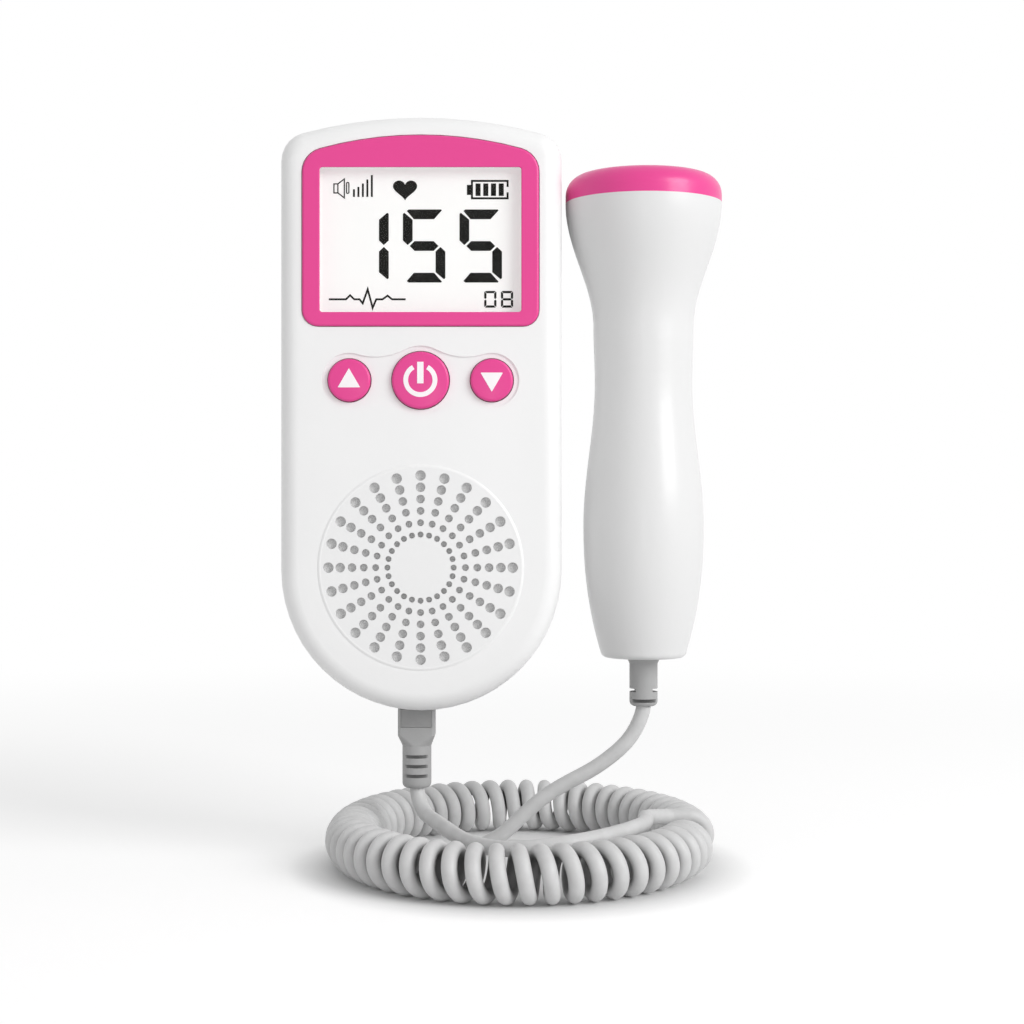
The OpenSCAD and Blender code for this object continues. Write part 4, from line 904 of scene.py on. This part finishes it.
class MONITOR_OT_housings(bpy.types.Operator):
    """Finishes the case, the speaker and the probe"""

    bl_idname = "monitor.housings"
    bl_label = "Housings"

    def execute(self, context):
        look = context.scene.monitor_shells
        # Satin white ABS with the sheen of a fine-textured tool
        satin = {"rough": 0.34, "tone": 0.988, "patch": 30.0, "grain": 0.9, "relief": 0.008, "coat": 0.12}
        shell = moulded("white_abs_shell", look.body, **satin)
        dress("front_case rear_case battery_cover", shell)
        # The grille is the case's white ABS, painted a little darker, at 0.97 of it, as shade
        disc = {**satin, "rough": 0.36, "tone": 0.99, "patch": 20.0}
        dress("speaker_grille", moulded("shaded_white_abs_grille", shade(look.body, 0.97), **disc))
        # The probe's shell is the case's white ABS, painted darker, at 0.85 of it, as shade
        probe = moulded("shaded_white_abs_probe", shade(look.body, 0.85), **satin)
        dress("probe_front_shell probe_rear_shell", probe)
        dress("probe_cap", bpy.data.materials["pink_abs_trim"])
        self.reliefs(look)
        self.seams(look.groove / MM)
        # Rounded lip that closes the gap round the grille
        lip = ring_solid(turned(GRILLE_BEAD, 0, SPEAKER_Z, 3), loop=True)
        piece("grille_lip", [lip], shell, "monitor")
        self.dust_cloth()
        return {"FINISHED"}

    def reliefs(self, look):
        """Moulded PVC: soft, matt and slightly chalky. The floors of the slots that let the reliefs bend are
        painted darker as shade.
        """
        chalky = {"rough": 0.55, "tone": 0.95, "patch": 4.0, "grain": 0.5, "relief": 0.02}
        dress("plug_shell", moulded("grey_pvc_plug", look.relief, **chalky))
        low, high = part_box("plug_relief")
        # Painted shade on the floors of the slots of both reliefs
        painted_dark = slot_floor_shade(PLUG, (high[0] - low[0]) / 2 / MM, PLUG_END_Z + 1.2, high[2] / MM)
        dress("plug_relief", moulded("grey_pvc_plug_relief", look.relief, **chalky, painted_shade=painted_dark))
        painted_dark = slot_floor_shade(PROBE, BOOT_RADIUS, PROBE_END_Z + 0.7, PROBE_SIDE[0][1])
        dress("probe_relief", moulded("grey_pvc_probe_relief", look.relief, **chalky, painted_shade=painted_dark))
        pad = moulded("dark_pvc_pad", look.pad, rough=0.6, tone=0.94, patch=2.0, grain=0.4, relief=0.03)
        dress("plug_pads", pad)

    def seams(self, width):
        """Grey strips over the lines where the shells meet: a painted shadow of the gap, which is too thin to
        see into.
        """
        gap = moulded(
            "shell_seam_shadow", linear("#9A9A9A"), rough=0.7, tone=0.9, patch=3.0, grain=0.5, relief=0.0
        )
        piece("case_seam", [seam_line(case_outline(), PARTING_Y, width, True)], gap, "monitor", angle=60)
        right, left = [probe_side() * [way, 1] + [PROBE[0], 0] for way in (1, -1)]
        runs = [seam_line(run, PROBE[1], width, False) for run in (right, left[::-1])]
        piece("probe_seam", runs, gap, "probe_set", angle=60)

    def dust_cloth(self):
        """Cloth stretched behind the grille: a disc whose front dips by the square of the radius."""
        low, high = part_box("speaker_cloth")
        radius, front, back = (high[0] - low[0]) / 2 / MM, low[1] / MM, high[1] / MM
        sag, s = 0.12, np.linspace(0.02, 1, 24)
        faces = [(radius * s, front + sag * (1 - s**2)), (radius * s[::-1], np.full(len(s), back))]
        rings = turned(np.hstack(faces).T, 0, SPEAKER_Z)
        disc = ring_solid(rings, (0, front + sag, SPEAKER_Z), (0, back, SPEAKER_Z))
        cloth = piece(
            "dust_cloth", [disc], woven("woven_dust_cloth", linear("#D8D8D8")), "monitor",
            replaced=("speaker_cloth",),
        )


# Nodes inside the case, the probe and the plug, and the kind, name, colour and finish of their material
WORKS = (
    # Moulded nylon: black, dull and a little mottled
    ("switch_bases probe_socket headphone_socket board_parts", moulded, "black_nylon", "#19191B",
     dict(rough=0.45, tone=0.85, patch=3.0)),
    # Polycarbonate: even, milky white
    ("lcd_holder", moulded, "white_polycarbonate", "#F0F0EB", dict(rough=0.4)),
    # Amber polyimide film: glossy and slightly streaked
    ("lcd_ribbon", moulded, "polyimide_ribbon", "#B86E20", dict(rough=0.25, tone=0.8, patch=1.5)),
    ("main_board probe_board", glass_fibre_board, "glass_fibre_board", "#1C5E36", {}),
    # Acetal: ivory and waxy
    ("up_plunger power_plunger down_plunger", moulded, "acetal_plunger", "#DAD6CC", dict(rough=0.35)),
    # Zinc plating: pale grey with fine streaks, and a coarser one on the pressed basket
    ("board_screws case_screws", plated, "zinc_plated_steel", "#B5B6BA", dict(rough=0.3)),
    ("speaker_frame", plated, "pressed_steel_basket", "#8D8F94", dict(rough=0.42, scratch=0.5)),
    # Pressed paper: matt with short fibres
    ("speaker_cone", moulded, "pressed_paper_cone", "#1B1B1D",
     dict(rough=0.88, tone=0.7, patch=1.2, grain=0.3, relief=0.05)),
    # Ground ferrite and filled epoxy: dark, dull and gritty
    ("speaker_magnet", moulded, "ground_ferrite", "#2B2B2E",
     dict(rough=0.6, tone=0.8, patch=2.0, grain=0.3, relief=0.03)),
    ("transducer_backing", moulded, "filled_epoxy", "#343437",
     dict(rough=0.7, tone=0.75, patch=0.8, grain=0.3, relief=0.03)),
    # Plain printed film over a cell's steel can: bluish grey and metallic
    ("battery_upper battery_lower", plated, "cell_film", "#6C7887", dict(rough=0.35, scratch=1.0)),
    # Nickel on spring steel and on brass: bright, and warmer on the brass pin
    ("battery_contacts", plated, "nickel_spring_steel", "#CFCDC8", dict(rough=0.22)),
    ("plug_pin", plated, "nickel_plated_brass", "#D3D0C6", dict(rough=0.16)),
    # Silver fired on to ceramic: pale yellow and cloudy
    ("transducer_crystals", plated, "silvered_ceramic", "#D6CDAE", dict(rough=0.4, scratch=0.4)),
)


class MONITOR_OT_works(bpy.types.Operator):
    """Finishes the pieces inside the case, the probe and the plug"""

    bl_idname = "monitor.works"
    bl_label = "Works"

    def execute(self, context):
        for nodes, kind, name, code, finish in WORKS:
            dress(nodes, kind(name, linear(code), **finish))
        return {"FINISHED"}


# ---- stage


def lamp(name, place, target, size, power, height=None):
    """A rectangular lamp at place that faces target, in metres."""
    light = bpy.data.lights.new(name, "AREA")
    light.energy, light.size = power, size
    if height:
        light.shape, light.size_y = "RECTANGLE", height
    made = put(name, light)
    made.location = place
    x, y, z = np.array(target, float) - np.array(place, float)
    made.rotation_euler = (math.atan2(math.hypot(x, y), -z), 0, math.atan2(y, x) - math.pi / 2)


def pale_world(ambient):
    """A plain room that gives the ambient light and is white where it is seen or mirrored."""
    world = bpy.data.worlds.new("pale_room")
    world.use_nodes = True
    tree = world.node_tree
    tree.nodes.clear()
    seen = seen_by(tree, "Is Camera Ray", "Is Glossy Ray", "Is Transmission Ray")
    level = add(tree, "MapRange", {"Value": seen, "To Min": ambient, "To Max": 1.0})
    sky = add(tree, "Background", {"Color": (1, 1, 1, 1), "Strength": level})
    add(tree, "OutputWorld", {"Surface": sky})
    return world


def pale_floor(colour):
    """Matt floor with a faint mottle. It takes the shadow near the object and fades into the white
    background further out. It glows a little where it is seen, but not inside the ring of curls,
    so that the gaps between them stay dark."""
    made, tree, place = blank("pale_floor")
    mottle = add(tree, "TexNoise", {"Vector": place, "Scale": 60.0, "Detail": 3.0})
    skin = add(tree, "Mix", {0: mottle, 6: shade(colour, 0.99), 7: colour}, out=2, data_type="RGBA")
    plain = add(tree, "BsdfDiffuse", {"Color": skin})
    seen = seen_by(tree, "Is Camera Ray", "Is Glossy Ray")
    # 1 at the curls' outer edge, an oval of 44 by 52 mm
    oval = add(tree, "Mapping", {"Vector": place, "Scale": (1 / 0.044, 1 / 0.052, 1)})
    reach = add(tree, "VectorMath", {0: oval}, out="Value", operation="LENGTH")
    outside = add(tree, "MapRange", {"Value": reach, "From Min": 0.95, "From Max": 1.2, "To Max": 0.3})
    lift = add(tree, "Math", {0: seen, 1: outside}, operation="MULTIPLY")
    glow = add(tree, "Emission", {"Color": (1, 1, 1, 1), "Strength": lift})
    near = add(tree, "AddShader", {0: plain, 1: glow})
    away = add(tree, "VectorMath", {0: place}, out="Value", operation="LENGTH")
    far = {"Value": away, "From Min": 0.16, "From Max": 0.6}
    fade = add(tree, "MapRange", far, interpolation_type="SMOOTHSTEP")
    share = add(tree, "Math", {0: seen, 1: fade}, operation="MULTIPLY")
    white = add(tree, "Emission", {"Color": (1, 1, 1, 1), "Strength": 1.0})
    add(tree, "OutputMaterial", {"Surface": add(tree, "MixShader", {0: share, 1: near, 2: white})})
    return made


class MONITOR_OT_stage(bpy.types.Operator):
    """Sets up the camera, the lamps, the floor and the pale background"""

    bl_idname = "monitor.stage"
    bl_label = "Stage"

    def execute(self, context):
        scene = context.scene
        look = scene.monitor_stage
        eye = bpy.data.cameras.new("camera")
        eye.lens, eye.sensor_width, eye.clip_start, eye.clip_end = look.lens, 36.0, 0.01, 50.0
        camera = put("camera", eye)
        camera.location = [c * MM for c in CAMERA]
        camera.rotation_euler = (math.radians(90), 0, 0)
        scene.camera = camera
        lamp("key_lamp", (1.05, -0.85, 0.55), (0.02, -0.014, -0.02), 0.75, look.key_power)
        lamp("strip_lamp", (0.012, -0.62, -0.06), (0.012, 0, -0.06), 0.03, look.strip_power, 0.22)
        scene.world = pale_world(look.ambient)
        edge = arc((0, 0), FLOOR_RADIUS, 0, 352.5, 48)
        disc = np.column_stack([edge, 0 * edge[:, 0]])
        floor = put("floor", mesh_of("floor", disc, [list(range(len(disc)))], pale_floor(look.floor)))
        floor.location = (RING[0] * MM, RING[1] * MM, CAD_BOX[0][2] - 0.1 * MM)
        # The curls lie on the floor, so it keeps to them when the plug is pulled out of the monitor
        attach(floor, "probe_set")
        scene.view_settings.view_transform = "Standard"
        return {"FINISHED"}


# ---- panel and registration


class MONITOR_PT_panel(bpy.types.Panel):
    """Lists the monitor's pieces in the sidebar"""

    bl_idname = "MONITOR_PT_panel"
    bl_label = "Heartbeat Monitor"
    bl_space_type = "VIEW_3D"
    bl_region_type = "UI"
    bl_category = "Monitor"

    def draw(self, context):
        for operator in OPERATORS:
            self.layout.operator(operator.bl_idname)
        for name, _ in SETTINGS:
            group = getattr(context.scene, name)
            for key in group.__annotations__:
                self.layout.prop(group, key)


SETTINGS = (
    ("monitor_stage", StageSettings),
    ("monitor_cord", CordSettings),
    ("monitor_display", DisplaySettings),
    ("monitor_keys", KeySettings),
    ("monitor_shells", ShellSettings),
)
# The camera and the cord come first, and the keys take the surround's material
OPERATORS = (
    MONITOR_OT_stage, MONITOR_OT_cord, MONITOR_OT_display,
    MONITOR_OT_keys, MONITOR_OT_housings, MONITOR_OT_works,
)


def register():
    for name, group in SETTINGS:
        bpy.utils.register_class(group)
        setattr(bpy.types.Scene, name, bpy.props.PointerProperty(type=group))
    for made in (*OPERATORS, MONITOR_PT_panel):
        bpy.utils.register_class(made)


def unregister():
    for made in (MONITOR_PT_panel, *OPERATORS[::-1]):
        bpy.utils.unregister_class(made)
    for name, group in SETTINGS[::-1]:
        delattr(bpy.types.Scene, name)
        bpy.utils.unregister_class(group)


def main():
    register()
    for step in ("stage", "cord", "display", "keys", "housings", "works"):
        getattr(bpy.ops.monitor, step)()


if __name__ == "__main__":
    main()
